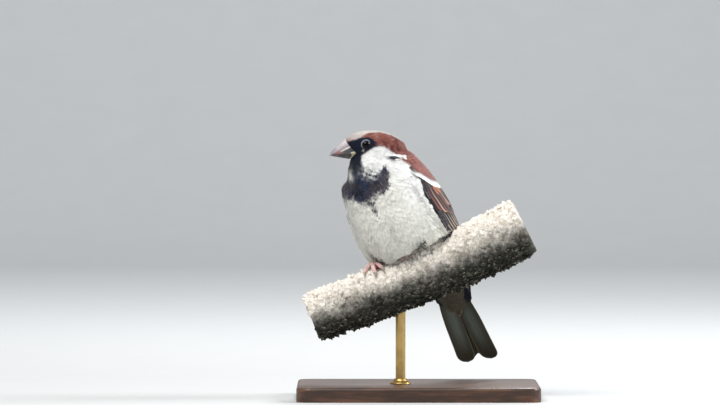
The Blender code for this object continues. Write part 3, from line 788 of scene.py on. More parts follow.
class Tree:
    """A node tree with one method that places nodes, and short names for the common ones."""

    def __init__(self, tree):
        self.tree = tree

    def node(self, kind, settings, sockets, out=0):
        made = self.tree.nodes.new(kind)
        for name, value in settings.items():
            if name == "stops":
                ramp = made.color_ramp
                while len(ramp.elements) < len(value):
                    ramp.elements.new(0.5)
                for stop, (at, tone) in zip(ramp.elements, value):
                    stop.position, stop.color = at, colour(tone)
            else:
                setattr(made, name, value)
        for key, value in sockets.items():
            if isinstance(value, Wire):
                self.tree.links.new(value.socket, made.inputs[key])
            else:
                made.inputs[key].default_value = value
        return Wire(self, made.outputs[out])

    def attribute(self, name, out=2):
        """A stored value: 0 as a colour, 1 as a vector, 2 as a number."""
        return self.node("ShaderNodeAttribute", {"attribute_name": name}, {}, out)

    def parts(self, vector):
        made = self.node("ShaderNodeSeparateXYZ", {}, {0: vector}).socket.node
        return [Wire(self, socket) for socket in made.outputs]

    def blend(self, share, a, b, how="MIX"):
        a, b = (v if isinstance(v, Wire) else colour(v) for v in (a, b))
        return self.node("ShaderNodeMix", {"data_type": "RGBA", "blend_type": how}, {0: share, 6: a, 7: b}, 2)

    def ramp(self, at, *stops):
        return self.node("ShaderNodeValToRGB", {"stops": stops}, {0: at})

    def place(self, *stretch):
        """Where a point lies on its own piece, in metres, drawn out along an axis if asked."""
        place = self.node("ShaderNodeTexCoord", {}, {}, 3)
        return self.node("ShaderNodeMapping", {}, {"Vector": place, "Scale": stretch}) if stretch else place

    def noise(self, place, scale, detail=2.0, roughness=0.5):
        sockets = {"Vector": place, "Scale": scale, "Detail": detail, "Roughness": roughness}
        return self.node("ShaderNodeTexNoise", {}, sockets)

    def bump(self, strength, distance, height, **more):
        sockets = {"Strength": strength, "Distance": distance, "Height": height, **more}
        return self.node("ShaderNodeBump", {}, sockets)

    def vectors(self, operation, a, b):
        values = {0: a, 3: b} if operation == "SCALE" else {0: a, 1: b}
        return self.node("ShaderNodeVectorMath", {"operation": operation}, values)


def finish(name, paint_it, **constants):
    """A material. Its constants go on the shader's own sockets, and paint_it(tree) gives the wires for the
    others: Base_Color for Base Color, and so on."""
    material = bpy.data.materials.new(name)
    material.use_nodes = True
    t, shader = Tree(material.node_tree), material.node_tree.nodes["Principled BSDF"]
    for socket, value in constants.items():
        shader.inputs[socket.replace("_", " ")].default_value = value
    for socket, wire in paint_it(t).items():
        t.tree.links.new(wire.socket, shader.inputs[socket.replace("_", " ")])
    return material


def finished(piece, material):
    piece.data.materials.clear()
    piece.data.materials.append(material)
    return piece


# %% [markdown]
# A feather's vane has a darker middle and a paler fringe, and its barbs run slantwise from the shaft. Each
# feather carries where it is on its own vane, and the fringe, tip and barbs are painted from that, over the
# tone that it took from the bird's markings at its root.


# %% The finish of feathers
def plumage(name, shine, barbs, soft=0.0, relief=0.35):
    def paint_it(t):
        across, along, _ = t.parts(t.attribute("leaf", 1))
        width, tip, streak = t.parts(t.attribute("trim", 1))
        odd = t.attribute("odd")
        out = abs(across * 2 - 1)
        rim = (out + (along - 0.6) * 0.25).step(1 - width, 1.02)
        edge_share = rim.maths("MAXIMUM", along.step(1 - tip, 1.0)).clamp()
        slant = {0: across * 1.5 + odd * 17, 1: along * barbs - out * barbs * 0.28, 2: odd * 31}
        hair = t.noise(t.node("ShaderNodeCombineXYZ", {}, slant), 2.2, 2.0, 0.6)
        base = t.blend(edge_share, t.attribute("tone", 0), t.attribute("edge", 0))
        shade = (hair - 0.5) * (0.25 + streak * 1.1) + (odd - 0.5) * (0.26 - soft * 0.16) + 1.0
        # painted shade: each feather is darker at its root, where the feathers over it shade it, and paler towards its
        # tip
        shade = shade * (0.80 + soft * 0.08 + along * (0.24 - soft * 0.10))
        grey = t.node("ShaderNodeCombineColor", {}, {0: shade, 1: shade, 2: shade})
        tinted = t.blend((1 - out.step(0.02, 0.09)) * 0.25, t.blend(1.0, base, grey, "MULTIPLY"), UMBER)
        turn = {}
        if soft:  # down scatters light, so it is shaded mostly as the body's own round form
            body = t.vectors("SCALE", t.attribute("grow", 1), soft)
            facing = t.vectors("SCALE", t.node("ShaderNodeNewGeometry", {}, {}, 1), 1 - soft)
            both = t.vectors("ADD", body, facing)
            turn["Normal"] = t.node("ShaderNodeVectorMath", {"operation": "NORMALIZE"}, {0: both})
        return {"Base_Color": tinted, "Roughness": 0.62 + hair * 0.25, "Normal": t.bump(relief, 0.0002, hair, **turn)}

    return finish(name, paint_it, Sheen_Weight=0.12, Sheen_Roughness=0.45, Specular_IOR_Level=shine)


def shaded_down_under_feathers(t):
    down = t.noise(t.place(), 900, 3)
    base = t.blend(0.35 + down * 0.3, t.attribute("tone", 0), t.attribute("edge", 0))
    # painted shade: the skin is darkened towards black, as it lies in the shadow under the coat
    base = t.blend(0.4, base, t.blend(0.45, base, (0.02, 0.018, 0.016), "MULTIPLY"))
    return {"Base_Color": base, "Roughness": 0.8 + down * 0.15, "Normal": t.bump(0.4, 0.0003, down)}


soft_plumage = plumage("soft_plumage", 0.12, 14, 0.72, 0.2)
back_plumage = plumage("back_plumage", 0.2, 20, 0.45)
vane_plumage = plumage("vane_plumage", 0.3, 46)
finished(skin, finish("feathered_skin", shaded_down_under_feathers, Sheen_Weight=0.1))

# %% [markdown]
# Three little feathers are made and then repeated thousands of times: a loose plume of tapering
# barbs for breast and belly, a rounded vane for the back, and a pinch of bristles for the face. Each is one
# unit long and wide, lies along +Y, and stores its own rise over the skin, as the coat is draped later.


# %% Three feathers to repeat
def prototype(name, points, faces, rounded_faces=True, **stored):
    """A piece one unit long that a tree repeats, kept out of the scene."""
    piece = new_piece(name, np.array(points) / MM, faces, rounded_faces)
    for key, values in stored.items():
        give(piece.data, key, values, "FLOAT" if np.ndim(values) == 1 else "FLOAT_VECTOR")
    bpy.context.scene.collection.objects.unlink(piece)
    return piece


def plume(name, count, seed, droop=0.0):
    """Barbs that fan a little and end at different lengths."""
    rng = np.random.default_rng(seed)
    points, leaves, faces = [], [], []
    for k in range(count):
        v = (k + 0.5) / count * 2 - 1
        end = 1 - 0.42 * abs(v) ** 1.8 - 0.10 * rng.random()
        sway = 0.09 * (rng.random() - 0.5)
        a = len(points)
        for t, share in ((0, 0.35), (0.4, 1.0), (0.75, 0.8), (1, 0)):
            x, half = v * (0.12 + 0.40 * min(1, 1.7 * t) ** 0.8) + sway * t, share * 0.70 / count
            rise = 0.02 + 0.30 * t**0.8 - droop * t * t - 0.05 * v * v + 0.02 * (k % 2)
            for way in (-1, 1) if share else (0,):
                points.append((x + way * half, end * t, rise))
                leaves.append((0.5 + x + way * half, end * t, 0))
        faces += [(a, a + 1, a + 3, a + 2), (a + 2, a + 3, a + 5, a + 4), (a + 4, a + 5, a + 6)]
    return prototype(name, points, faces, leaf=leaves, rise=[q[2] for q in points])


def vane(name, columns, seed):
    """A rounded contour feather, arched across."""
    rng = np.random.default_rng(seed)
    rows = ((0, 0.12), (0.25, 0.36), (0.55, 0.5), (0.8, 0.42), (0.95, 0.22))
    points, leaves = [], []
    for t, half in rows:
        for v in (k / (columns - 1) * 2 - 1 for k in range(columns)):
            ragged = 0.05 * (rng.random() - 0.5) if t > 0.9 else 0
            y = t + 0.05 * (1 - abs(v)) + ragged - 0.04 * abs(v)
            points.append((v * half, y, 0.02 + 0.24 * t**0.8 + 0.05 * (1 - v * v)))
            leaves.append((0.5 + 0.5 * v, t, 0))
    faces = quads(len(rows), columns, closed=False)
    return prototype(name, points, faces, leaf=leaves, rise=[q[2] for q in points])


def shelf(name, pieces):
    """A collection, kept out of the scene, that a tree picks feathers from."""
    made = bpy.data.collections.new(name)
    for piece in pieces:
        made.objects.link(piece)
    return made


PLUMES = shelf("plumes", [plume(f"plume_{k}", 8, k) for k in range(4)])
VANES = shelf("vanes", [vane(f"vane_{k}", 5, k) for k in range(3)])
BRISTLES = shelf("bristles", [plume(f"bristle_{k}", 3, 20 + k, 0.08) for k in range(3)])

# %% [markdown]
# One Geometry Nodes tree lays every small feather. It scatters roots at an even spacing over a region of the
# skin, turns a feather to the lie there, scales it by the stored reach and girth, makes it real, and drapes
# each of its points on the skin at its stored rise. It also gives each feather a little patch of its own on
# the unwrap of the body, which is what a baked texture needs.


# %% The tree that lays feathers
class Scatter(Tree):
    """A Geometry Nodes tree that repeats small pieces over a surface."""

    def __init__(self, name, inputs):
        super().__init__(bpy.data.node_groups.new(name, "GeometryNodeTree"))
        for label, kind in {"Geometry": "Geometry", **inputs}.items():
            self.tree.interface.new_socket(label, in_out="INPUT", socket_type="NodeSocket" + kind)
        self.tree.interface.new_socket("Geometry", in_out="OUTPUT", socket_type="NodeSocketGeometry")
        source = self.tree.nodes.new("NodeGroupInput")
        self.given = {socket.name: Wire(self, socket) for socket in source.outputs if socket.name}

    def named(self, name, kind="FLOAT"):
        return self.node("GeometryNodeInputNamedAttribute", {"data_type": kind}, {"Name": name})

    def chance(self, low, high, more):
        sockets = {2: low, 3: high, 8: self.given["Seed"] + more}
        return self.node("FunctionNodeRandomValue", {"data_type": "FLOAT"}, sockets, 1)

    def vector(self, x, y, z):
        return self.node("ShaderNodeCombineXYZ", {}, {0: x, 1: y, 2: z})

    def scatter(self, density, along, turn, pieces, pick, size):
        """Pieces on evenly spaced points, upright on the surface, their Y along a stored direction."""
        given = self.given
        roots = self.node("GeometryNodeDistributePointsOnFaces", {"distribute_method": "POISSON"}, {
            "Mesh": given["Geometry"], "Distance Min": given["Spacing"], "Density Max": density,
            "Density Factor": self.named("crowd"), "Seed": given["Seed"]})
        turned = self.node("FunctionNodeAlignRotationToVector", {"axis": "Z"},
                           {"Vector": self.named("grow", "FLOAT_VECTOR")})
        turned = self.node("FunctionNodeAlignRotationToVector", {"axis": "Y", "pivot_axis": "Z"},
                           {"Rotation": turned, "Vector": self.named(along, "FLOAT_VECTOR")})
        turn = self.node("FunctionNodeEulerToRotation", {}, {0: turn})
        turned = self.node("FunctionNodeRotateRotation", {"rotation_space": "LOCAL"}, {0: turned, 1: turn})
        kinds = self.node("GeometryNodeCollectionInfo", {}, {
            "Collection": given[pieces], "Separate Children": True, "Reset Children": True})
        index = self.node("FunctionNodeRandomValue", {"data_type": "INT"}, {4: 0, 5: 7, 8: given["Seed"] + pick}, 2)
        return self.node("GeometryNodeInstanceOnPoints", {}, {
            "Points": roots, "Instance": kinds, "Pick Instance": True, "Rotation": turned,
            "Instance Index": index, "Scale": size})

    def store(self, geometry, name, value, kind="FLOAT", domain="INSTANCE"):
        return self.node("GeometryNodeStoreNamedAttribute", {"data_type": kind, "domain": domain},
                         {"Geometry": geometry, "Name": name, "Value": value})

    def done(self, geometry):
        end = self.node("GeometryNodeSetMaterial", {}, {"Geometry": geometry, "Material": self.given["Finish"]})
        self.tree.links.new(end.socket, self.tree.nodes.new("NodeGroupOutput").inputs[0])
        return self.tree


def feather_tree():
    t = Scatter("lay_feathers", {"Skin": "Object", "Feathers": "Collection", "Spacing": "Float", "Size": "Float",
                                 "Loft": "Float", "Seed": "Int", "Finish": "Material"})
    long = t.named("reach") * t.chance(0.82, 1.16, 2) * t.given["Size"]
    wide = t.named("girth") * t.chance(0.85, 1.2, 3) * t.given["Size"]
    sway = t.vector(0.0, 0.0, t.chance(-0.17, 0.17, 1))
    feathers = t.scatter(9e6, "lie", sway, "Feathers", 4, t.vector(wide, long, long))
    feathers = t.store(feathers, "odd", t.chance(0.0, 1.0, 5))
    feathers = t.store(feathers, "stand", t.named("reach") * t.given["Loft"] * t.chance(0.75, 1.25, 6))
    real = t.node("GeometryNodeRealizeInstances", {}, {0: feathers})
    body = t.node("GeometryNodeObjectInfo", {"transform_space": "ORIGINAL"}, {"Object": t.given["Skin"]}, 4)
    foot = t.node("GeometryNodeProximity", {"target_element": "FACES"}, {0: body})
    up = t.node("GeometryNodeSampleNearestSurface", {"data_type": "FLOAT_VECTOR"},
                {"Mesh": body, "Value": t.named("grow", "FLOAT_VECTOR")})
    height = t.vectors("SCALE", up, t.named("rise") * t.named("stand"))
    place = t.vectors("ADD", foot, height)
    draped = t.node("GeometryNodeSetPosition", {}, {"Geometry": real, "Position": place})
    patch = t.vectors("SUBTRACT", t.named("leaf", "FLOAT_VECTOR"), (0.5, 0.5, 0))
    spot = t.vectors("ADD", t.named("unwrap", "FLOAT_VECTOR"), t.vectors("SCALE", patch, 0.003))
    mapped = t.store(draped, "OFBake", spot, "FLOAT2", "CORNER")
    return t.done(t.node("GeometryNodeSetShadeSmooth", {}, {0: mapped}))


def run_tree(piece, group, **values):
    """Gives a tree's named inputs by their identifiers, and works it into a plain mesh."""
    modifier = piece.modifiers.new(group.name, "NODES")
    modifier.node_group = group
    for item in group.interface.items_tree:
        if item.item_type == "SOCKET" and item.in_out == "INPUT" and item.name in values:
            modifier[item.identifier] = values[item.name]
    return applied(piece)


LAY = feather_tree()

# %% [markdown]
# The coat is split into regions so that each stays light enough to handle. The borders don't show, as the
# feathers of one region lie over the roots of the next.


# %% Laying the coat
def region_at(p):
    """The name of the region that each point belongs to."""
    s, angle = on_trunk(p)
    back, up, _ = on_head(p)
    high = s + 0.35 * up
    rows = (((high > 76.5) & (back < 10), "face"), (high > 74, "head"),
            ((np.abs(angle) > 98) & (s > 2) & (s < 78), "back"), (s >= 62, "throat"), (s <= 14, "tail_covert"),
            ((s > 40) & (s < 62), "breast"), ((s > 14) & (s <= 40), "belly"))
    return np.select([row[0] for row in rows], [row[1] for row in rows], "")


def region(name):
    """A copy of the skin with only the faces whose middles lie in a region."""
    piece = linked(name + "_feathers", skin.data.copy())
    piece.data.name = piece.name
    drop = region_at(read(piece.data.polygons, "center") / MM) != name

    def change(shape):
        shape.faces.ensure_lookup_table()
        bmesh.ops.delete(shape, geom=[f for f, out in zip(shape.faces, drop) if out], context="FACES")
    return edit(piece, change)


COAT = (  # region, feathers, spacing in mm, size, loft, finish, slot
    ("face", BRISTLES, 0.33, 1.0, 1.1, soft_plumage, "head_feathers"),
    ("head", PLUMES, 0.55, 1.0, 1.0, soft_plumage, "head_feathers"),
    ("throat", PLUMES, 0.66, 1.0, 0.95, soft_plumage, "neck_feathers"),
    ("breast", PLUMES, 0.66, 1.15, 0.85, soft_plumage, "body_feathers"),
    ("belly", PLUMES, 0.68, 1.15, 0.9, soft_plumage, "body_feathers"),
    ("back", VANES, 1.0, 1.0, 1.0, back_plumage, "body_feathers"),
    ("tail_covert", PLUMES, 0.9, 1.05, 0.75, soft_plumage, "body_feathers"),
)
coat = []
for number, (name, feathers, spacing, size, high, material, slot) in enumerate(COAT):
    piece = run_tree(region(name), LAY, Skin=skin, Feathers=feathers, Spacing=spacing * MM, Size=size, Loft=high,
                     Seed=40 + 10 * number, Finish=material)
    p = points_of(piece.data)
    ragged = 1.2 - 1.8 * mottle(p, 1.5, 41)
    move_points(piece, clear_of_perch(p, gap=0.3, hang=11.0, droop=droop_at(p) + ragged))
    coat.append((piece, slot))
    print("%s: %d triangles" % (piece.name, triangles(piece)))

# %% [markdown]
# The large feathers of wings and tail aren't scattered: each has its place and size. A blade is a vane
# written on the wing's surface, with its outer edge showing and its inner edge under the next one.


# %% Blades
def blade_rows(rows=15, columns=9):
    return np.meshgrid(np.linspace(0, 1, rows), np.linspace(-1, 1, columns), indexing="ij")


def vane_width(t, tip):
    """Share of the full width along a vane: a narrow base, and a rounded or pointed tip."""
    at_tip = np.clip((t - (1 - tip)) / tip, 0, 1)
    return (0.45 + 0.55 * ease(0, 0.35, t)) * np.clip(1 - at_tip**2.4, 0.0, 1) ** 0.5


class Blades:
    """Collects vanes into one piece, with their colours and a place for each on the bake's map."""

    KINDS = {"tone": "FLOAT_COLOR", "edge": "FLOAT_COLOR", "trim": "FLOAT_VECTOR", "leaf": "FLOAT_VECTOR",
             "odd": "FLOAT"}

    def __init__(self, cells):
        self.points, self.faces, self.store = [], [], {k: [] for k in (*self.KINDS, "map")}
        self.cells, self.count, self.rng = cells, 0, np.random.default_rng(cells)

    def add(self, points, t, v, tone, edge, trim):
        many, start = t.size, sum(len(p) for p in self.points)
        self.points.append(points.reshape(-1, 3))
        self.faces += [tuple(f) for f in quads(*t.shape, closed=False, start=start)]
        leaf = np.stack((0.5 + 0.5 * v, t, t * 0), -1).reshape(-1, 3)
        corner = np.array((self.count % self.cells, self.count // self.cells, 0)) / self.cells
        spot = corner + leaf / self.cells * 0.9 + 0.05 / self.cells
        for key, value in (("tone", tone), ("edge", edge), ("trim", trim)):
            self.store[key].append(np.broadcast_to(np.asarray(value, float), (*t.shape, 3)).reshape(many, 3))
        for key, value in (("leaf", leaf), ("odd", np.full(many, self.rng.random())), ("map", spot)):
            self.store[key].append(value)
        self.count += 1

    def piece(self, name, material):
        made = new_piece(name, np.concatenate(self.points), self.faces)
        for key, kind in self.KINDS.items():
            give(made.data, key, np.concatenate(self.store[key]), kind)
        corners = np.empty(len(made.data.loops), int)
        made.data.loops.foreach_get("vertex_index", corners)
        spots = np.concatenate(self.store["map"])[corners, :2]
        made.data.uv_layers.new(name="OFBake").data.foreach_set("uv", spots.ravel())
        print("%s: %d vanes, %d triangles" % (name, self.count, triangles(made)))
        return finished(made, material)


# %% [markdown]
# On a folded wing the layers run from the bend of the wing down: small chestnut coverts over the shoulder,
# one row of white-tipped ones, long rufous-edged greater coverts, then the secondaries with the broad
# tertials over them, and last the tips of the primaries. By the breast's edge lie the dark alula and
# primary coverts.


# %% Feathers of the folded wing
BAR = np.array((  # the white bar across the wing, as (s, angle)
    (62.7, 88.5), (60.2, 91.5), (57.2, 94.5), (54.6, 98.5), (52, 103), (49.8, 109), (47.8, 116), (46, 124),
    (44.6, 133), (43.6, 142)))
PRIMARY_TIPS = ((-21.5, 110), (-23.6, 114), (-24.0, 118), (-22.8, 123), (-20.4, 128), (-17.2, 133), (-13.6, 138),
                (-10.0, 142), (-6.6, 146))


def along_bar(share):
    at = share * (len(BAR) - 1)
    i = min(int(at), len(BAR) - 2)
    return BAR[i] * (1 - at + i) + BAR[i + 1] * (at - i)


def wing_blade(store, side, root, tip, width, layer, rise, tilt, tone, edge, trim, point=0.3, bend=0.0, rows=15):
    """A vane from root to tip, both as (s, angle from the belly's middle line in degrees)."""
    t, v = blade_rows(rows)
    root = (min(root[0], 65.5), root[1])
    s = root[0] + (tip[0] - root[0]) * t
    a = root[1] + (tip[1] - root[1]) * t + bend * np.sin(np.pi * t)
    edge_low, far, _, _ = wing_section(s)
    half = width / 2 * vane_width(t, point) * (1 - 0.12 * v)
    f = (a - edge_low) / (far - edge_low) + v * half / np.maximum(wing_arc(s), 3)
    s = s - 0.18 * v**2 * half
    near, off = np.clip(f, 0, 1), np.clip(1 - f, 0, 1)
    tuck = -1.0 * np.exp(-near / 0.03) if side > 0 else -3.2 * np.exp(-near / 0.06) - 0.5 * np.exp(-off / 0.06)
    lift = layer + rise * t - tilt * v - 0.12 * v * v + tuck * ease(-4, 12, s)
    lift = lift - 0.8 * ease(60, 63, s) - 3.4 * ease(62.5, 66.5, s)
    store.add(wing_place(s, f, lift, side), t, v, tone, edge, trim)


def dress_wing(side):
    store = Blades(18)
    rng = np.random.default_rng(31)

    def lay(*vane, **more):
        wing_blade(store, side, *vane, **more)

    # primaries: the outermost first, each next one over it
    for k, tip in enumerate(PRIMARY_TIPS):
        lay((40 - 0.6 * k, 72.5 + 1.3 * k), tip, 5.0, -0.55 + 0.09 * k, 0.25, 0.22,
            DARK_VANE[0.5], mix(BUFF, UMBER, 0.75), (0.1, 0.04, 0.1), 0.22, bend=-6)
    # secondaries
    for k in range(7):
        lay((40, 78 + 5.0 * k), (-2.5 + 1.9 * k, 124 + 4.6 * k), 6.6, 0.2 + 0.08 * k, 0.25, 0.34,
            DARK_VANE[0.8], mix(mix(BUFF, WHITE, 0.3), RUFOUS, 0.1 * max(k - 2, 0)), (0.44, 0.05, 0.1), 0.16, bend=-9)
    # tertials
    for k in range(3):
        lay((40, 112 + 12 * k), (4.5 + 4.4 * k, 152 + 5 * k), 9.2, 0.72 + 0.14 * k, 0.3, 0.25,
            DARK_VANE[0.4], mix(RUFOUS, BUFF, 0.45), (0.42, 0.08, 0.2), 0.22, bend=-3)
    # dark bases along the breast's edge, then the alula and primary coverts
    for k in range(4):
        lay((58.0 - 1.6 * k, 86.5 - 2.2 * k), (22 - 3 * k, 82 - 3.4 * k), 8.5, 0.36 - 0.03 * k, 0.12, 0.1,
            DARK_VANE[0.6], mix(UMBER, ASH, 0.2), (0.1, 0.04, 0.1), 0.2, rows=24)
    for k in range(8):
        tip = 51.5 - 1.5 * k if k < 3 else 46.5 - 2.3 * k
        lay((59.5 - 2.2 * k, 88 - 1.3 * k), (tip, 80.5 - 0.3 * k), 4.2 - 0.1 * k, 0.5 + 0.05 * k, 0.3, 0.2,
            DARK_VANE[0.7], mix(UMBER, ASH, 0.3), (0.12, 0.04, 0.1), 0.3)
    # greater coverts
    for k in range(12):
        share = k / 11
        root = (56.5 - 9.5 * share, 88 + 56.5 * share)
        tip = (37.5 - 8 * share**0.7 + 4.0 * (rng.random() - 0.5), 85.5 + 64.5 * share)
        if k in (1, 4):
            warm = mix(BUFF, ROSE_BROWN, 0.5)
        else:
            warm = mix(mix(CHESTNUT, RUFOUS, rng.random()), BUFF, 0.3 * share)
        lay(root, tip, 6.0 + 1.2 * share, 0.75 + 0.05 * share, 0.2, 0.36,
            DARK_VANE[0.8], warm, (0.28 + 0.3 * rng.random(), 0.04, 0.3), 0.32)
    # their upper halves are brighter, just under the bar
    for k in range(9):
        share = 0.16 + 0.84 * k / 8
        tip = (46.5 - 9.0 * share + 3.0 * (rng.random() - 0.5), 88.5 + 59 * share)
        lay((56.0 - 8.5 * share, 92 + 52.5 * share), tip, 5.0, 0.9, 0.05, 0.25,
            mix(RUFOUS, UMBER, 0.4), mix(ORANGE_BROWN, RUFOUS, 0.25 * rng.random()), (0.8, 0.05, 0.2), 0.5, rows=9)
    # median coverts, black with white tips
    for k in range(24):
        s, angle = along_bar(k / 23)
        pale = mix(WHITE, BUFF, 0.25 * ease(0.25, 0.8, k / 23))
        lay((s + 6.2, angle + 3.5), (s - 2.8 - 1.4 * rng.random(), angle - 1.4), 3.7, 1.0, 0.05, 0.12,
            mix(SOOT, UMBER, 0.4), pale, (0.5, 0.78, 0.05), 0.45, rows=9)
    # lesser coverts, in rows above the bar
    for row in range(9):
        for k in range(26):
            shift = 1.2 + 1.9 * row
            s, angle = along_bar(min((k + 0.5 * (row % 2)) / 25, 1)) + (shift * 0.80, shift * 1.55)
            if s > 61.5 or angle > wing_section(s + 2)[1] + 3:
                continue
            lay((s + 3.8, angle + 3.2), (s - 0.8 * rng.random(), angle), 3.3, 1.1, 0.2, 0.1,
                mix(CHESTNUT, DEEP_CHESTNUT, 0.8 * rng.random()), mix(ROSE_BROWN, CHESTNUT, 0.5 * rng.random()),
                (0.3, 0.16, 0.3), 0.55, rows=8)
    # the folded tips' inner webs, seen from in front beside the tail
    for k in range(3):
        t, v = blade_rows(12, 7)
        middle = wing_place(2 - (25.0 - 1.5 * k) * t, np.full_like(t, 0.5), -0.6 - 0.15 * k, side)
        half = 2.3 * vane_width(t, 0.1) * (1 - 0.12 * k)
        across = side * (3.2 - 2.2 * ease(0.25, 0.95, t) + v * half - 0.9 * k)
        under = 3.4 + 0.25 * k + 0.2 * v
        points = middle + TAIL_LEFT * across[..., None] + TAIL_UNDER * under[..., None]
        store.add(points, t, v, mix(SOOT, BIB_BLUE, 0.5), UMBER, (0.08, 0.03, 0.1))
    return store.piece("wing_feathers_left" if side > 0 else "wing_feathers_right", vane_plumage)


wings = [dress_wing(1), dress_wing(-1)]

# %% [markdown]
# The tail has twelve feathers in six pairs. The middle pair lies on top and the outermost underneath, so the
# underside shows mostly the outer pair, with narrow pale edges. Longer grey coverts lie under its root, and
# their buff edges make a V.


# %% Tail feathers, and the long coverts under them
def tail_place(across, down, lift):
    return TAIL_ROOT + TAIL_LEFT * across[..., None] - TAIL_UP * down[..., None] + TAIL_UNDER * lift[..., None]


def dress_tail():
    store = Blades(6)
    for k in range(6):  # the middle pair first
        outer = k == 5
        root, end = 0.5 + 0.8 * k - 0.6 * outer, 6.9 if outer else 2.6 + 0.95 * k
        length, wide = 54.0 + 0.7 * k - 0.8 * outer, 5.25 if outer else 3.9
        for side in (1, -1):
            t, v = blade_rows(22, 9)
            t = 1 - (1 - t) ** 1.5
            rounded_tip = np.clip(1 - np.clip((t - 0.925) / 0.075, 0, 1) ** 2.0, 0, 1) ** 0.5
            half = wide * (0.5 + 0.5 * ease(0, 0.6, t)) * rounded_tip
            across = side * (root + (end - root) * t**1.1) + v * half
            lift = -0.62 + 0.24 * k + 0.1 * side * v * (1 if k else 0.4) - 0.15 * v * v
            # painted sheen: a paler blue-grey band down the middle of each outer feather, standing for light reflected
            # off the vane
            painted_sheen = hump((v, -0.1 * side, 0.55)) * ease(0.3, 0.5, t) * (1 - ease(0.66, 0.95, t))
            if outer:
                tone = mix(mix(TAIL_BROWN, UMBER, 0.3 * ease(0.75, 1, t)), TAIL_PAINTED_SHEEN, 0.75 * painted_sheen)
            else:
                tone = mix(TAIL_BROWN, UMBER, 0.55)
            edge = mix(TAIL_EDGE, TAIL_BROWN, 0.2 if outer else 0.6)
            store.add(tail_place(across, length * t + 2, lift), t, v, tone, edge, (0.08, 0.02, 0.15))
    return store.piece("tail_vanes", vane_plumage)


def dress_under_tail():
    store = Blades(4)
    sizes = ((-5.0, 17, 7.5), (5.0, 17, 7.5), (-3.0, 22, 8), (3.0, 22, 8), (1.2, 27.0, 9.0))
    for k, (x, long, wide) in enumerate(sizes):
        t, v = blade_rows(14, 9)
        across = x * (1 - 0.55 * t) + v * (wide / 2 * vane_width(t, 0.8))
        lift = 3.4 - 1.9 * t + 0.18 * k - 0.3 * v * v
        edge = mix(BUFF, TAIL_BROWN, 0.45 if k > 1 else 0.8)
        store.add(tail_place(across, 3 + long * t, lift), t, v, TAIL_BROWN * 0.9, edge, (0.2, 0.05, 0.2))
    return store.piece("under_tail_coverts", vane_plumage)


tail, under_tail = dress_tail(), dress_under_tail()

# %% [markdown]
# An eye is a dark wet ball sunk behind two thin lids. The lids are one ring turned about the eye's axis: it
# starts on the ball, rolls over, and runs under the feathers. Their pale rim is beaded like the real one.


# %% Eyes and lids
LID_PROFILE = (  # from the eye's axis, over the ball
    (1.88, -0.12), (1.90, 0.02), (1.98, 0.08), (2.15, 0.08), (2.32, 0.12), (2.46, 0.20), (2.58, 0.20), (2.72, 0.10),
    (2.95, -0.1), (3.35, -0.5))
BEADS, LID_COUNT = 22, 60


def eye_frame(side):
    """The eye's middle, and directions out of the head, forwards and up, turned a little to the front."""
    middle = HEAD_BASE - FORWARD * EYE_BACK + HEAD_UP * EYE_UP + HEAD_LEFT * side * EYE_OUT
    out = unit(HEAD_LEFT * side + FORWARD * 0.16)
    ahead = unit(FORWARD - out * (FORWARD @ out))
    return middle, out, ahead, np.cross(ahead, out) * side


def eyeball(side):
    middle, out, ahead, up = eye_frame(side)
    rings = []
    for a in np.linspace(0.02, np.pi - 0.02, 30):
        radius = EYE_RADIUS * np.sin(a)
        swell = 0.16 * np.exp(-((radius / 1.1) ** 2)) * (a < 1.5)
        rings.append(oval(middle + out * (EYE_RADIUS * np.cos(a) + swell), up, ahead, radius, radius, 36))
    piece = recalculated(new_piece("eye_ball_left" if side > 0 else "eye_ball_right", *loft(rings)))
    off = points_of(piece.data) - middle
    across = np.linalg.norm(off - np.outer(off @ out, out), axis=1)
    give(piece.data, "across", np.where(off @ out > 0, across, 9.0), "FLOAT")
    return piece


def lids(side):
    middle, out, ahead, up = eye_frame(side)
    rings, a = [], circle(LID_COUNT)[:, None]
    for radius, over in LID_PROFILE:
        inner = 1 - ease(1.8, 2.2, radius)
        wide, high = radius * (1 + 0.05 * inner), radius * (1 - 0.03 * inner)
        ball = np.sqrt(max(EYE_RADIUS**2 - min(radius, 2.7) ** 2, 0.2))
        height = ball + over + 0.05 * np.cos(a * BEADS) * between(radius, 2.4, 2.64, 0.06)
        rings.append(middle + out * height + ahead * wide * np.cos(a) + up * high * np.sin(a))
    points = np.concatenate(rings)
    piece = new_piece("lids_left" if side > 0 else "lids_right", points, quads(len(rings), LID_COUNT))
    give(piece.data, "ring", np.repeat(np.arange(len(rings)) / (len(rings) - 1), LID_COUNT), "FLOAT")

    def change(shape):
        bmesh.ops.recalc_face_normals(shape, faces=shape.faces)
        if sum(f.normal.dot(Vector(out)) for f in shape.faces) < 0:
            bmesh.ops.reverse_faces(shape, faces=shape.faces)
    return edit(piece, change)


def eye_colours(t):
    rays = t.noise(t.place(), 2600, 3)
    iris = t.blend(rays, paint(24, 15, 11), paint(10, 7, 6))
    base = t.blend(t.attribute("across").step(1.25, 1.4), paint(2, 2, 3), iris)
    return {"Base_Color": base, "Roughness": 0.05 + rays * 0.04}


def lid_colours(t):
    ring, bits = t.attribute("ring"), t.noise(t.place(), 2400, 2)
    pale = t.blend(bits, paint(150, 156, 168), paint(100, 106, 118))
    base = t.blend(ring.step(0.70, 0.80), t.blend(ring.step(0.40, 0.54), paint(22, 24, 34), pale), SOOT)
    return {"Base_Color": base, "Roughness": 0.5 + bits * 0.2, "Normal": t.bump(0.4, 0.0001, bits)}


wet = finish("wet_eye", eye_colours, Coat_Roughness=0.02, Coat_IOR=1.36, Coat_Weight=0.35, Specular_IOR_Level=0.02)
bare = finish("bare_lid", lid_colours, Specular_IOR_Level=0.4)
eyes = [finished(eyeball(side), wet) for side in (1, -1)]
rims = [finished(lids(side), bare) for side in (1, -1)]
print("eyes: %.1f mm across, %.1f mm showing" % (2 * EYE_RADIUS, 2 * LID_PROFILE[0][0]))

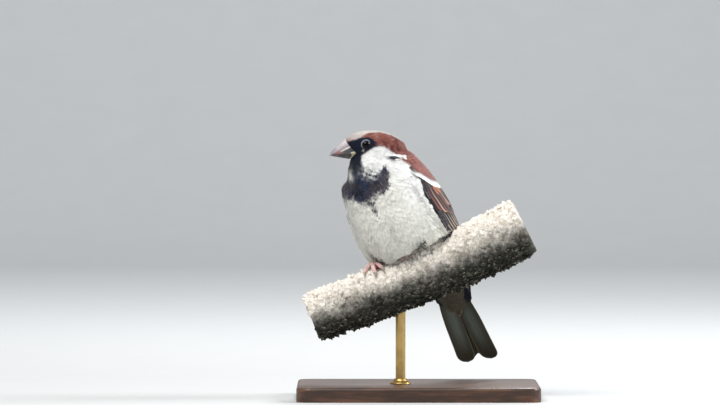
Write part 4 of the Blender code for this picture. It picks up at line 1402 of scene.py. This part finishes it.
# %% [markdown]
# A seed-eater's bill is a short cone of horn in two halves that close on a curved line. The upper half has a
# ridge, overhangs the lower at its sides, and holds the nostril close to the feathers.

# %% Bill
BILL_LENGTH, BILL_DEPTH, BILL_WIDTH, BILL_DIP = 10.9, 9.3, 7.6, np.radians(10.5)
BILL_AHEAD = FORWARD * np.cos(BILL_DIP) - HEAD_UP * np.sin(BILL_DIP)
BILL_UP = HEAD_UP * np.cos(BILL_DIP) + FORWARD * np.sin(BILL_DIP)


def bill_half(name, above):
    sign = 1 if above else -1
    full, reach = (0.56 if above else 0.50) * BILL_DEPTH, BILL_LENGTH * (1.0 if above else 0.93)
    # t runs from inside the head to the tip, and k round the half from side to side
    t = np.concatenate((np.linspace(-0.42, 0, 5)[:-1], 1 - (1 - np.linspace(0, 1, 30)) ** 1.25))[:, None]
    k = np.linspace(0, np.pi, 33)[None, :]
    share = np.maximum(np.clip(1 - np.maximum(t, 0), 0, 1) ** 0.93, 0.02)
    rise = full * share * (0.6 * np.sin(k) + 0.4 * (1 - np.abs(np.cos(k)) ** 1.15))
    ridge = (0.30 if above else 0.05) * share * hump((k, np.pi / 2, 0.2))
    nostril = hump((t, 0.07, 0.05), (np.abs(k - np.pi / 2), 0.82, 0.13)) * (0.5 if above else 0)
    rise = rise + ridge - nostril * 0.55
    across = BILL_WIDTH / 2 * share * np.cos(k) * (1 - nostril * 0.10)
    mouth = -2.1 * (1 - t) + 0.35 * np.sin(np.pi * np.clip(t, 0, 1))
    overhang = 0.06 * np.abs(np.cos(k)) ** 6 if above else 0.0
    drop = mouth - overhang + sign * 0.05
    middle = HEAD_BASE + BILL_AHEAD * (reach * t)[..., None] - BILL_UP * (0.4 * t)[..., None]
    rings = middle + HEAD_LEFT * across[..., None] + BILL_UP * (sign * rise + drop * (1 - np.sin(k)))[..., None]
    under = np.linspace(0, 1, 9)[1:-1][None, :, None]
    floor = rings[:, -1:, :] * (1 - under) + rings[:, :1, :] * under
    piece = recalculated(new_piece(name, *loft(np.concatenate((rings, floor), 1))))
    p = points_of(piece.data) - HEAD_BASE
    give(piece.data, "down", p @ BILL_AHEAD / reach, "FLOAT")
    give(piece.data, "high", (p @ BILL_UP) / (BILL_DEPTH / 2), "FLOAT")
    give(piece.data, "above", np.full(len(p), float(above)), "FLOAT")
    return piece


def horn_colours(t):
    down, high, above = t.attribute("down"), t.attribute("high"), t.attribute("above")
    blot, fine = t.noise(t.place(), 520, 3), t.noise(t.place(), 3200, 3, 0.6)

    def band(at, middle, half, near, far):
        return 1 - abs((at - middle) / half).step(near, far)

    # painted highlight and shade: the upper half is paler up along its ridge and towards its tip, as light from above
    # falls on it, and darker down its sides; the blot makes it uneven
    ridge_light = high + (blot - 0.5) * 0.6 + down * 0.35
    upper = t.ramp(ridge_light, (0.05, paint(80, 78, 82)), (0.5, paint(126, 116, 120)), (0.95, paint(184, 177, 179)))
    flush = band(down, 0.46, 0.2, 0.4, 1.3) * band(high, -0.05, 0.26, 0.3, 1.2)
    upper = t.blend(flush * 0.7, upper, paint(140, 84, 82))
    hollow = (1 - down.step(0.14, 0.36)) * band(high, -0.08, 0.3, 0.5, 1.1)
    upper = t.blend(hollow * 0.85, upper, paint(60, 60, 66))
    fold = band(high + down * 0.55, 0.26, 0.09, 0.4, 1.2)
    upper = t.blend(fold * (1 - down.step(0.28, 0.5)) * 0.8, upper, paint(204, 198, 195))
    lower = t.blend((blot + down * 0.4).step(0.35, 0.85), paint(50, 53, 58), paint(98, 94, 98))
    base = t.blend(above, lower, upper)
    base = t.blend(abs(fine - 0.5) * 0.5, base, paint(60, 52, 54))
    gape = 1 - (down - abs(high + 0.62) * 0.12 + (blot - 0.5) * 0.14).step(-0.10, -0.04)
    base = t.blend(gape * (1 - high.step(-0.36, -0.24)), base, paint(206, 196, 164))
    # painted highlight: the tip is paler, as on the ridge
    base = t.blend(down.step(0.78, 1.0) * 0.5, base, paint(206, 202, 200))
    return {"Base_Color": base, "Roughness": 0.36 + fine * 0.2, "Normal": t.bump(0.3, 0.0001, fine * 0.6 + blot)}


horn = finish("bill_horn", horn_colours, Specular_IOR_Level=0.5, Coat_Weight=0.12, Coat_Roughness=0.3)
bill = [finished(bill_half("bill_horn_upper", True), horn), finished(bill_half("bill_horn_lower", False), horn)]
print("bill: %.1f mm from its feathers, %.1f mm deep" % (BILL_LENGTH, BILL_DEPTH))

# %% [markdown]
# The feet grip the bark: three toes forwards and one back. Horn plates cross the top of each toe, so the
# tubes swell and pinch along their length. Claws are separate curved cones.

# %% Feet and claws
FOOT_X = {"right": -17.6, "left": -2.5}
FOOT_BACK, TOE_RADIUS, SOLE = 1.5, 1.4, -0.3
TOES = ((-0.6, 50, 4), (3.5, 41, 3), (-5.3, 41, 3), (0.8, -38, 2))  # spread, reach round the perch, pads


def on_perch(x, angle, height):
    """Point over the bark: angle from its top, positive to the front."""
    middle, _, up = perch_frame(x)
    angle, radius = np.asarray(angle)[..., None], (perch_radius(x) + height)[..., None]
    return middle + (up * np.cos(angle) - np.array((0, 1.0, 0)) * np.sin(angle)) * radius


def tube(line, radii, sides=12):
    """A round tube along points, closed at its ends."""
    ahead = unit(np.gradient(line, axis=0))
    first = unit(np.cross(ahead, np.array((0.2, 0.3, 1.0))))
    second = np.cross(ahead, first)
    a = circle(sides)[None, :, None]
    ring = first[:, None] * np.cos(a) + second[:, None] * np.sin(a)
    return loft(line[:, None] + ring * np.asarray(radii)[:, None, None])


def foot(side):
    x = FOOT_X[side]
    toes, claws = [], []
    for spread, reach, pads in TOES:
        turn, reach = np.sign(reach), np.radians(reach)
        start = -FOOT_BACK / PERCH_RADIUS + 0.05 * reach + 0.012 * spread
        t = np.linspace(0, 1, 40)
        pad = 0.10 * np.abs(np.sin(np.pi * pads * t)) ** 0.5 + 0.045 * np.abs(np.sin(np.pi * pads * 5 * t))
        radii = TOE_RADIUS * (0.96 - 0.26 * t) * (0.93 + pad)
        radii[-3:] *= (0.95, 0.8, 0.5)
        height = TOE_RADIUS * (0.98 - 0.1 * t) + SOLE
        toes.append(tube(on_perch(x + spread * (0.1 + 0.9 * t), start + reach * t, height), radii))
        t = np.linspace(0, 1, 16)
        rise = TOE_RADIUS * (0.85 + 0.72 * np.sin(np.pi * t) - 1.0 * t) + SOLE
        line = on_perch(x + spread * (0.98 + 0.12 * t), start + reach * 0.97 + turn * 0.22 * t, rise)
        claws.append(tube(line, TOE_RADIUS * 0.56 * (1 - t) ** 0.8 + 0.05, 10))
    if side == "right":  # painted shade: a dark red tube between two toes stands for the shadow in the gap between them
        t = np.linspace(0, 1, 12)
        line = on_perch(x + 0.3 + 1.2 * t, 0.7 * t - 0.1, TOE_RADIUS * (0.95 - 0.25 * t) + SOLE)
        toes.append(tube(line, 1.0 - 0.4 * t))
    root = on_perch(np.array(x), -FOOT_BACK / PERCH_RADIUS, np.array(TOE_RADIUS + SOLE))
    up = unit(unit(root - perch_point(x)) * 0.8 + np.array((0, 0.6, 0)))
    t = np.linspace(0, 1, 30)
    radii = 1.15 * (1 + 0.22 * np.exp(-((t / 0.12) ** 2)) + 0.05 * np.abs(np.sin(np.pi * 7 * t)) ** 0.6)
    toes.append(tube(root - up * 0.3 + up * 8.2 * t[:, None], radii, 14))
    # fold marks the points of the painted-shade tube between the toes
    fold = [np.full(len(points), float(side == "right" and i == len(TOES))) for i, (points, _) in enumerate(toes)]
    skin_piece = new_piece(f"foot_{side}", *joined(toes))
    give(skin_piece.data, "fold", np.concatenate(fold), "FLOAT")
    return recalculated(skin_piece), recalculated(new_piece(f"claws_{side}", *joined(claws)))


def foot_colours(t):
    plates = t.node("ShaderNodeTexVoronoi", {"feature": "DISTANCE_TO_EDGE"}, {"Vector": t.place(), "Scale": 1500.0})
    blot = t.noise(t.place(), 420, 3)
    base = t.blend(blot.step(0.3, 0.7), paint(236, 214, 208), paint(216, 176, 170))
    base = t.blend((1 - plates.step(0.0, 0.14)) * 0.5, base, paint(140, 78, 74))
    # painted shade: the tube between the toes is dark red
    base = t.blend(t.attribute("fold"), base, paint(112, 40, 36))
    return {"Base_Color": base, "Roughness": 0.5 + blot * 0.15, "Normal": t.bump(0.6, 0.00015, plates.step(0.0, 0.2))}


def claw_colours(t):
    grain = t.noise(t.place(), 1800, 3)
    base = t.blend(grain.step(0.3, 0.7), paint(128, 112, 102), paint(186, 170, 156))
    return {"Base_Color": base, "Roughness": 0.32 + grain * 0.15}


foot_skin = finish("foot_skin", foot_colours, Specular_IOR_Level=0.4, Subsurface_Weight=0.08, Subsurface_Scale=0.001)
claw_horn = finish("claw_horn", claw_colours, Specular_IOR_Level=0.5, Coat_Weight=0.2, Coat_Roughness=0.2)
feet = {}
for side in ("left", "right"):
    feet[side] = [finished(piece, material) for piece, material in zip(foot(side), (foot_skin, claw_horn))]
    print(f"foot {side}: %d triangles with claws" % sum(map(triangles, feet[side])))

# %% [markdown]
# The branch is rough all over with small pointed scales of bark that turn up at their tips and catch the
# light. Its body is a bumpy loft with sawn ends, and the scales are scattered on it by a second tree: each
# lies nearly flat, points along the branch or round it, and turns up a little differently.


# %% The branch
def from_middle(p):
    """Distance from the branch's middle along it."""
    return np.abs((p - perch_point(0)) @ PERCH_LINE)


def branch_body():
    rows, count = 150, 96
    x = np.linspace(-PERCH_HALF_RUN, PERCH_HALF_RUN, rows)
    middle, _, up = perch_frame(x)
    a = circle(count)[None, :, None]
    ring = up[:, None] * np.cos(a) + np.array((0, 1.0, 0)) * np.sin(a)
    rings = middle[:, None] + ring * (perch_radius(x)[:, None, None] - 0.9)
    flat = rings.reshape(-1, 3)
    bumps = 0
    for height, size, seed in ((1.1, 3.2, 21), (0.8, 1.5, 22), (1.0, 9, 23)):
        bumps = bumps + height * (mottle(flat, size, seed) - 0.5)
    ends = (1 - ease(0, 1.2, PERCH_HALF_RUN - np.abs(x)))[:, None, None]
    rings = middle[:, None] + (rings + ring * bumps.reshape(rows, count, 1) - middle[:, None]) * (1 - 0.06 * ends)
    low_cap = [middle[0] + (rings[0] - middle[0]) * r for r in (0.02, 0.35, 0.7, 0.93)]
    high_cap = [middle[-1] + (rings[-1] - middle[-1]) * r for r in (0.93, 0.7, 0.35, 0.02)]
    piece = recalculated(new_piece("branch", *loft(np.concatenate((low_cap, rings, high_cap)))))
    p = points_of(piece.data)
    middle, slope, _ = perch_frame(p[:, 0])
    out = p - middle - slope * ((p - middle) * slope).sum(1)[:, None]
    give(piece.data, "radius", np.linalg.norm(out, axis=1), "FLOAT")
    give(piece.data, "grow", unit(out))
    give(piece.data, "slope", slope)
    return piece


branch = branch_body()
print("branch: %d triangles" % triangles(branch))


# %% Bark scales
def bark_scale(name, seed):
    """A pointed flake, thick at its root and turned up at its tip."""
    rng = np.random.default_rng(seed)
    points, faces = [], []
    for y, half, rise in ((0, 0.30, 0.02), (0.35, 0.44, 0.12), (0.7, 0.32, 0.24), (1.0, 0.0, 0.48)):
        half *= 0.8 + 0.4 * rng.random()
        sway = 0.12 * (rng.random() - 0.5)
        for way in (-1, 1) if half > 0 else (0,):
            points.append((sway + way * half, y, rise + 0.08 * rng.random()))
            points.append((sway + way * half * 0.8, y * 0.97, rise - 0.28 * (1 - 0.5 * y)))
    for a in (0, 4):
        faces += [(a, a + 2, a + 6, a + 4), (a + 2, a + 3, a + 7, a + 6), (a, a + 4, a + 5, a + 1)]
    faces += [(8, 10, 12), (10, 11, 13, 12), (8, 12, 13, 9), (9, 13, 11)]
    return prototype(name, points, faces, False, tipness=[q[1] for q in points])


def scale_tree():
    t = Scatter("scatter_scales", {"Scales": "Collection", "Spacing": "Float", "Size": "Float", "Seed": "Int",
                                   "Finish": "Material"})
    turn = t.vector(t.chance(-0.2, 0.22, 1), t.chance(-0.2, 0.2, 2), t.chance(0.8, 2.3, 3))
    big = t.given["Size"] * (0.55 + t.chance(0.0, 1.0, 4) ** 2.2 * 0.9)
    size = t.vector(big * t.chance(0.7, 1.1, 6), big, big * t.chance(0.6, 1.2, 7))
    flakes = t.store(t.scatter(3e6, "slope", turn, "Scales", 5, size), "odd", t.chance(0.0, 1.0, 8))
    return t.done(t.node("GeometryNodeRealizeInstances", {}, {0: flakes}))


def bark_colours(flake):
    def paint_it(t):
        broad, blot = t.noise(t.place(), 90, 4), t.noise(t.place(), 380, 4, 0.6)
        fine = t.noise(t.place(), 1900, 4, 0.65)
        lichen = t.node("ShaderNodeTexVoronoi", {}, {"Vector": t.place(), "Scale": 240.0})
        odd, tipness = t.attribute("odd"), t.attribute("tipness")
        at = blot * 0.45 + broad * 0.25 + odd * 0.30 if flake else blot * 0.55 + broad * 0.45
        # painted light and shade: the first ramp is the pale colour of the branch's lit top, the second the dark colour
        # of its shaded underside
        lit_bark = t.ramp(at, (0.3, paint(164, 152, 138)), (0.44, paint(228, 220, 208)), (0.62, paint(248, 243, 235)))
        shaded = t.ramp(at, (0.3, paint(36, 38, 35)), (0.55, paint(68, 68, 60)), (0.8, paint(122, 120, 108)))
        if flake:
            # painted highlight on the flakes' upturned tips, and painted shade at their roots under the flakes that lie
            # over them; some tips on the shaded underside are paler too, as lit tips
            lit_bark = t.blend(tipness.step(0.35, 1.0) * 0.7, lit_bark, paint(238, 232, 222))
            lit_bark = t.blend((1 - tipness.step(0.0, 0.4)) * 0.2, lit_bark, paint(92, 80, 68))
            shaded = t.blend(tipness.step(0.5, 1.0) * odd.step(0.55, 0.9) * 0.6, shaded, paint(176, 172, 158))
        else:
            # painted shade: the body of the branch, seen between the flakes, is darker, standing for the shadow between
            # them
            lit_bark = t.blend(0.35, lit_bark, paint(80, 70, 60))
        upward = t.parts(t.attribute("grow", 1))[2]
        # painted light and shade: pale where the bark faces up into the light, dark where it faces down
        base = t.blend((upward + (broad - 0.5) * 0.9 + (blot - 0.5) * 0.5).step(-0.5, 0.46), shaded, lit_bark)
        base = t.blend((1 - lichen.step(0.15, 0.35)) * 0.18, base, paint(188, 192, 168))
        base = t.blend((fine - 0.35).clamp() * 0.28, base, paint(70, 60, 50))
        return {"Base_Color": base, "Roughness": 0.78 + fine * 0.2, "Normal": t.bump(0.7, 0.0005, fine * 0.4 + blot)}
    return paint_it


bark = finish("bark", bark_colours(False), Specular_IOR_Level=0.25)
flake_bark = finish("bark_scales", bark_colours(True), Specular_IOR_Level=0.25)
SCALES = shelf("scales", [bark_scale(f"flake_{k}", 70 + k) for k in range(6)])
SCATTER = scale_tree()


def scattered(name, crowd, spacing, size, seed):
    """The branch's surface as scales only, thick where crowd is 1."""
    piece = linked(name, branch.data.copy())
    piece.data.name = name
    give(piece.data, "crowd", crowd, "FLOAT")
    run_tree(piece, SCATTER, Scales=SCALES, Spacing=spacing * MM, Size=size * MM, Seed=seed, Finish=flake_bark)
    print("%s: %d triangles" % (name, triangles(piece)))
    return piece


p = points_of(branch.data)
out, far = p - perch_frame(p[:, 0])[0], from_middle(p)
below = ease(0.75, 0.95, -out[:, 2] / np.linalg.norm(out, axis=1))
flakes = scattered("bark_flakes", 1 - ease(57.6, 58.2, far), 0.88, 2.1, 5)
spikes = scattered("bark_spikes", below * (1 - ease(56, 57, far)), 3.2, 3.0, 8)

# %% [markdown]
# The cut ends show pale wood with rings. They are the flat faces far along the branch, and have a finish of
# their own on the same mesh.


# %% Wood of the cut ends
def end_wood(t):
    blot, fine, slow = t.noise(t.place(), 300, 3), t.noise(t.place(), 2200, 3, 0.6), t.noise(t.place(), 110, 2)
    radius = t.attribute("radius")
    rings = ((radius + blot * 0.5 + slow * 4.5) * (3.4 + slow * 2.4)).maths("SINE")
    base = t.blend(rings.step(-0.3, 1.0) * 0.55, paint(190, 164, 126), paint(160, 130, 94))
    base = t.blend((slow - 0.35).clamp() * 1.2, base, paint(150, 132, 108))
    ray = t.noise(t.attribute("grow", 1), 7.0, 3, 0.7)
    base = t.blend((1 - abs(ray - 0.5).step(0.0, 0.03)) * radius.step(2, 8) * 0.7, base, paint(84, 62, 44))
    base = t.blend(radius.step(12.2, 12.9), base, paint(82, 64, 48))
    base = t.blend(1 - radius.step(0.3, 0.9), base, paint(110, 78, 50))
    base = t.blend((fine - 0.4).clamp() * 0.5, base, paint(120, 92, 62))
    return {"Base_Color": base, "Roughness": 0.68 + fine * 0.2, "Normal": t.bump(0.4, 0.0002, rings * 0.4 + fine)}


finished(branch, bark)
branch.data.materials.append(finish("cut_wood", end_wood, Specular_IOR_Level=0.25))
faces = branch.data.polygons
on_end = (from_middle(read(faces, "center") / MM) > 57.0) & (np.abs(read(faces, "normal") @ PERCH_LINE) > 0.8)
faces.foreach_set("material_index", on_end.astype(int))
print("cut ends: %d faces" % on_end.sum())

# %% [markdown]
# The stand stays as it was in the solids, so it only gets finishes: oiled dark wood with long grain for the
# base, and brushed brass for the rod. A small turned collar hides where the rod enters the base.


# %% The stand
ROD_PLACE = (-9.0, -7.0)
COLLAR = (  # radius, height
    (2.55, 7.55), (5.4, 7.55), (5.5, 7.9), (5.3, 8.3), (4.3, 8.7), (3.6, 9.5), (3.3, 10.2), (2.9, 10.4), (2.55, 10.3))


def walnut(t):
    wave, pores = t.noise(t.place(0.12, 1.0, 1.0), 90, 4, 0.55), t.noise(t.place(0.06, 1.0, 1.0), 1500, 3, 0.6)
    lines = (wave * 34).maths("SINE") * 0.5 + 0.5
    browns = (0.1, paint(46, 29, 20)), (0.55, paint(78, 50, 34)), (0.95, paint(104, 70, 48))
    base = t.ramp(lines * 0.6 + wave * 0.4, *browns)
    base = t.blend(pores.step(0.58, 0.72) * 0.7, base, paint(28, 18, 13))
    relief = t.bump(0.25, 0.0002, pores * -1.0 + lines * 0.2)
    return {"Base_Color": base, "Roughness": 0.34 + pores * 0.22, "Normal": relief}


def brass(t):
    brush, age = t.noise(t.place(0.08, 0.08, 1.0), 5200, 3, 0.6), t.noise(t.place(), 160, 4)
    base = t.blend(age.step(0.35, 0.75) * 0.5, paint(206, 176, 112), paint(150, 118, 70))
    return {"Base_Color": base, "Roughness": 0.24 + brush * 0.16 + age * 0.08, "Normal": t.bump(0.15, 0.00005, brush)}


def turned(name, middle, profile, count=48):
    """A ring turned about an upright line, from (radius, height) pairs that close on themselves."""
    a = circle(count)
    rings = [np.stack((middle[0] + r * np.cos(a), middle[1] + r * np.sin(a), z + a * 0), -1)
             for r, z in (*profile, profile[0])]
    return recalculated(new_piece(name, np.concatenate(rings), quads(len(rings), count)))


oiled = finish("oiled_walnut", walnut, Coat_Weight=0.25, Coat_Roughness=0.3, Specular_IOR_Level=0.4)
metal = finish("brushed_brass", brass, Metallic=1.0, Anisotropic=0.3)
finished(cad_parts["stand_base"], oiled)
finished(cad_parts["stand_rod"], metal)
collar = finished(turned("rod_collar", ROD_PLACE, COLLAR), metal)
print("collar: %d triangles" % triangles(collar))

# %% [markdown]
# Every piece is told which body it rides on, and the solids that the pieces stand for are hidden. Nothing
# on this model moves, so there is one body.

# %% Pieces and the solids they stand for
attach(skin, "root")
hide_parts("head", "neck", "trunk", "wing_left", "wing_right")
for piece, slot in coat:
    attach(piece, "root")
for piece in wings:
    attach(piece, "root")
for piece in (tail, under_tail):
    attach(piece, "root")
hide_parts("tail")
for piece, node in zip(eyes, ("eye_left", "eye_right")):
    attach(piece, "root")
    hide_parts(node)
for piece in rims:
    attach(piece, "root")
for piece, node in zip(bill, ("bill_upper", "bill_lower")):
    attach(piece, "root")
    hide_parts(node)
for side in ("left", "right"):
    for piece in feet[side]:
        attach(piece, "root")
    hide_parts(f"leg_{side}")
for piece in (branch, flakes, spikes):
    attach(piece, "root")
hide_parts("perch")
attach(collar, "root")

# %% [markdown]
# The room is plain: a pale floor that curves up into a pale wall far behind. The main light is a large soft
# one high at the front left, with a weaker fill from the right and a rim from behind.


# %% Floor, light and camera
FLOOR_BEND, FLOOR_BACK = 0.8, 2.4  # in metres


def floor_colours(t):
    grain = t.noise(t.place(), 30, 4)
    return {"Base_Color": t.blend(grain, paint(186, 187, 187), paint(191, 192, 192)), "Roughness": 0.7 + grain * 0.1}


def sweep():
    profile = [(-3.0, 0.0), (FLOOR_BACK, 0.0)]
    profile += [(FLOOR_BACK + FLOOR_BEND * np.sin(a), FLOOR_BEND - FLOOR_BEND * np.cos(a))
                for a in np.linspace(0.15, np.pi / 2, 12)]
    profile += [(FLOOR_BACK + FLOOR_BEND, 3.2)]
    points = np.array([(x, y, z) for y, z in profile for x in np.linspace(-4, 4, 9)]) / MM
    piece = new_piece("floor", points, quads(len(profile), 9, closed=False))
    return finished(piece, finish("pale_floor", floor_colours, Specular_IOR_Level=0.2))


sweep()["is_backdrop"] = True


def aimed(made, place, direction):
    made.location, made.rotation_mode = place, "QUATERNION"
    made.rotation_quaternion = direction.to_track_quat("-Z", "Y")
    return made


def lamp(name, place, target, size, watts, tint):
    light = bpy.data.lights.new(name, "AREA")
    light.shape, light.size, light.energy, light.color = "DISK", size, watts, tint
    aimed(linked(name, light), place, Vector(target) - Vector(place))


lamp("key", (-0.34, -0.7, 1.06), (0, 0, 0.09), 0.7, 15.0, (1.0, 0.985, 0.96))
lamp("fill", (1.1, 0.0, 0.7), (0, 0, 0.1), 0.6, 16.0, (0.95, 0.98, 1.0))
lamp("rim", (0.15, 0.75, 0.95), (-0.01, 0, 0.11), 0.4, 8.0, (1.0, 1.0, 1.0))
lamp("wall", (0, 1.0, 1.7), (0, 3.2, 0.7), 1.4, 34.0, (0.97, 0.99, 1.0))
world = bpy.data.worlds.new("room")
world.use_nodes = True
sky = world.node_tree.nodes["Background"].inputs
sky["Color"].default_value, sky["Strength"].default_value = (0.92, 0.95, 1.0, 1), 0.45
bpy.context.scene.world = world
bpy.context.scene.view_settings.view_transform = "Standard"

camera = bpy.data.cameras.new("camera")
camera.sensor_width, camera.lens, camera.clip_start, camera.clip_end = 36, 300, 0.05, 50
tilt, width = np.radians(1.0), 0.36923  # the camera looks down a little, and takes in this width at its aim
aim = Vector((-0.02974, 0, 0.10026))
back_way = Vector((0, -np.cos(tilt), np.sin(tilt)))
distance = camera.lens / camera.sensor_width * width
bpy.context.scene.camera = aimed(linked("camera", camera), aim + back_way * distance, -back_way)
print("camera: %.1f m from the bird" % distance)

# %% Sizes against the solids
shown_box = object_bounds()
shown = [o for o in bpy.context.scene.objects if o.type == "MESH" and not o.hide_render]
print("triangles in all: %d" % sum(map(triangles, shown)))
for label, box in (("solids", cad_box), ("dressed", shown_box)):
    print(label, [round(v / MM, 1) for corner in box for v in corner])
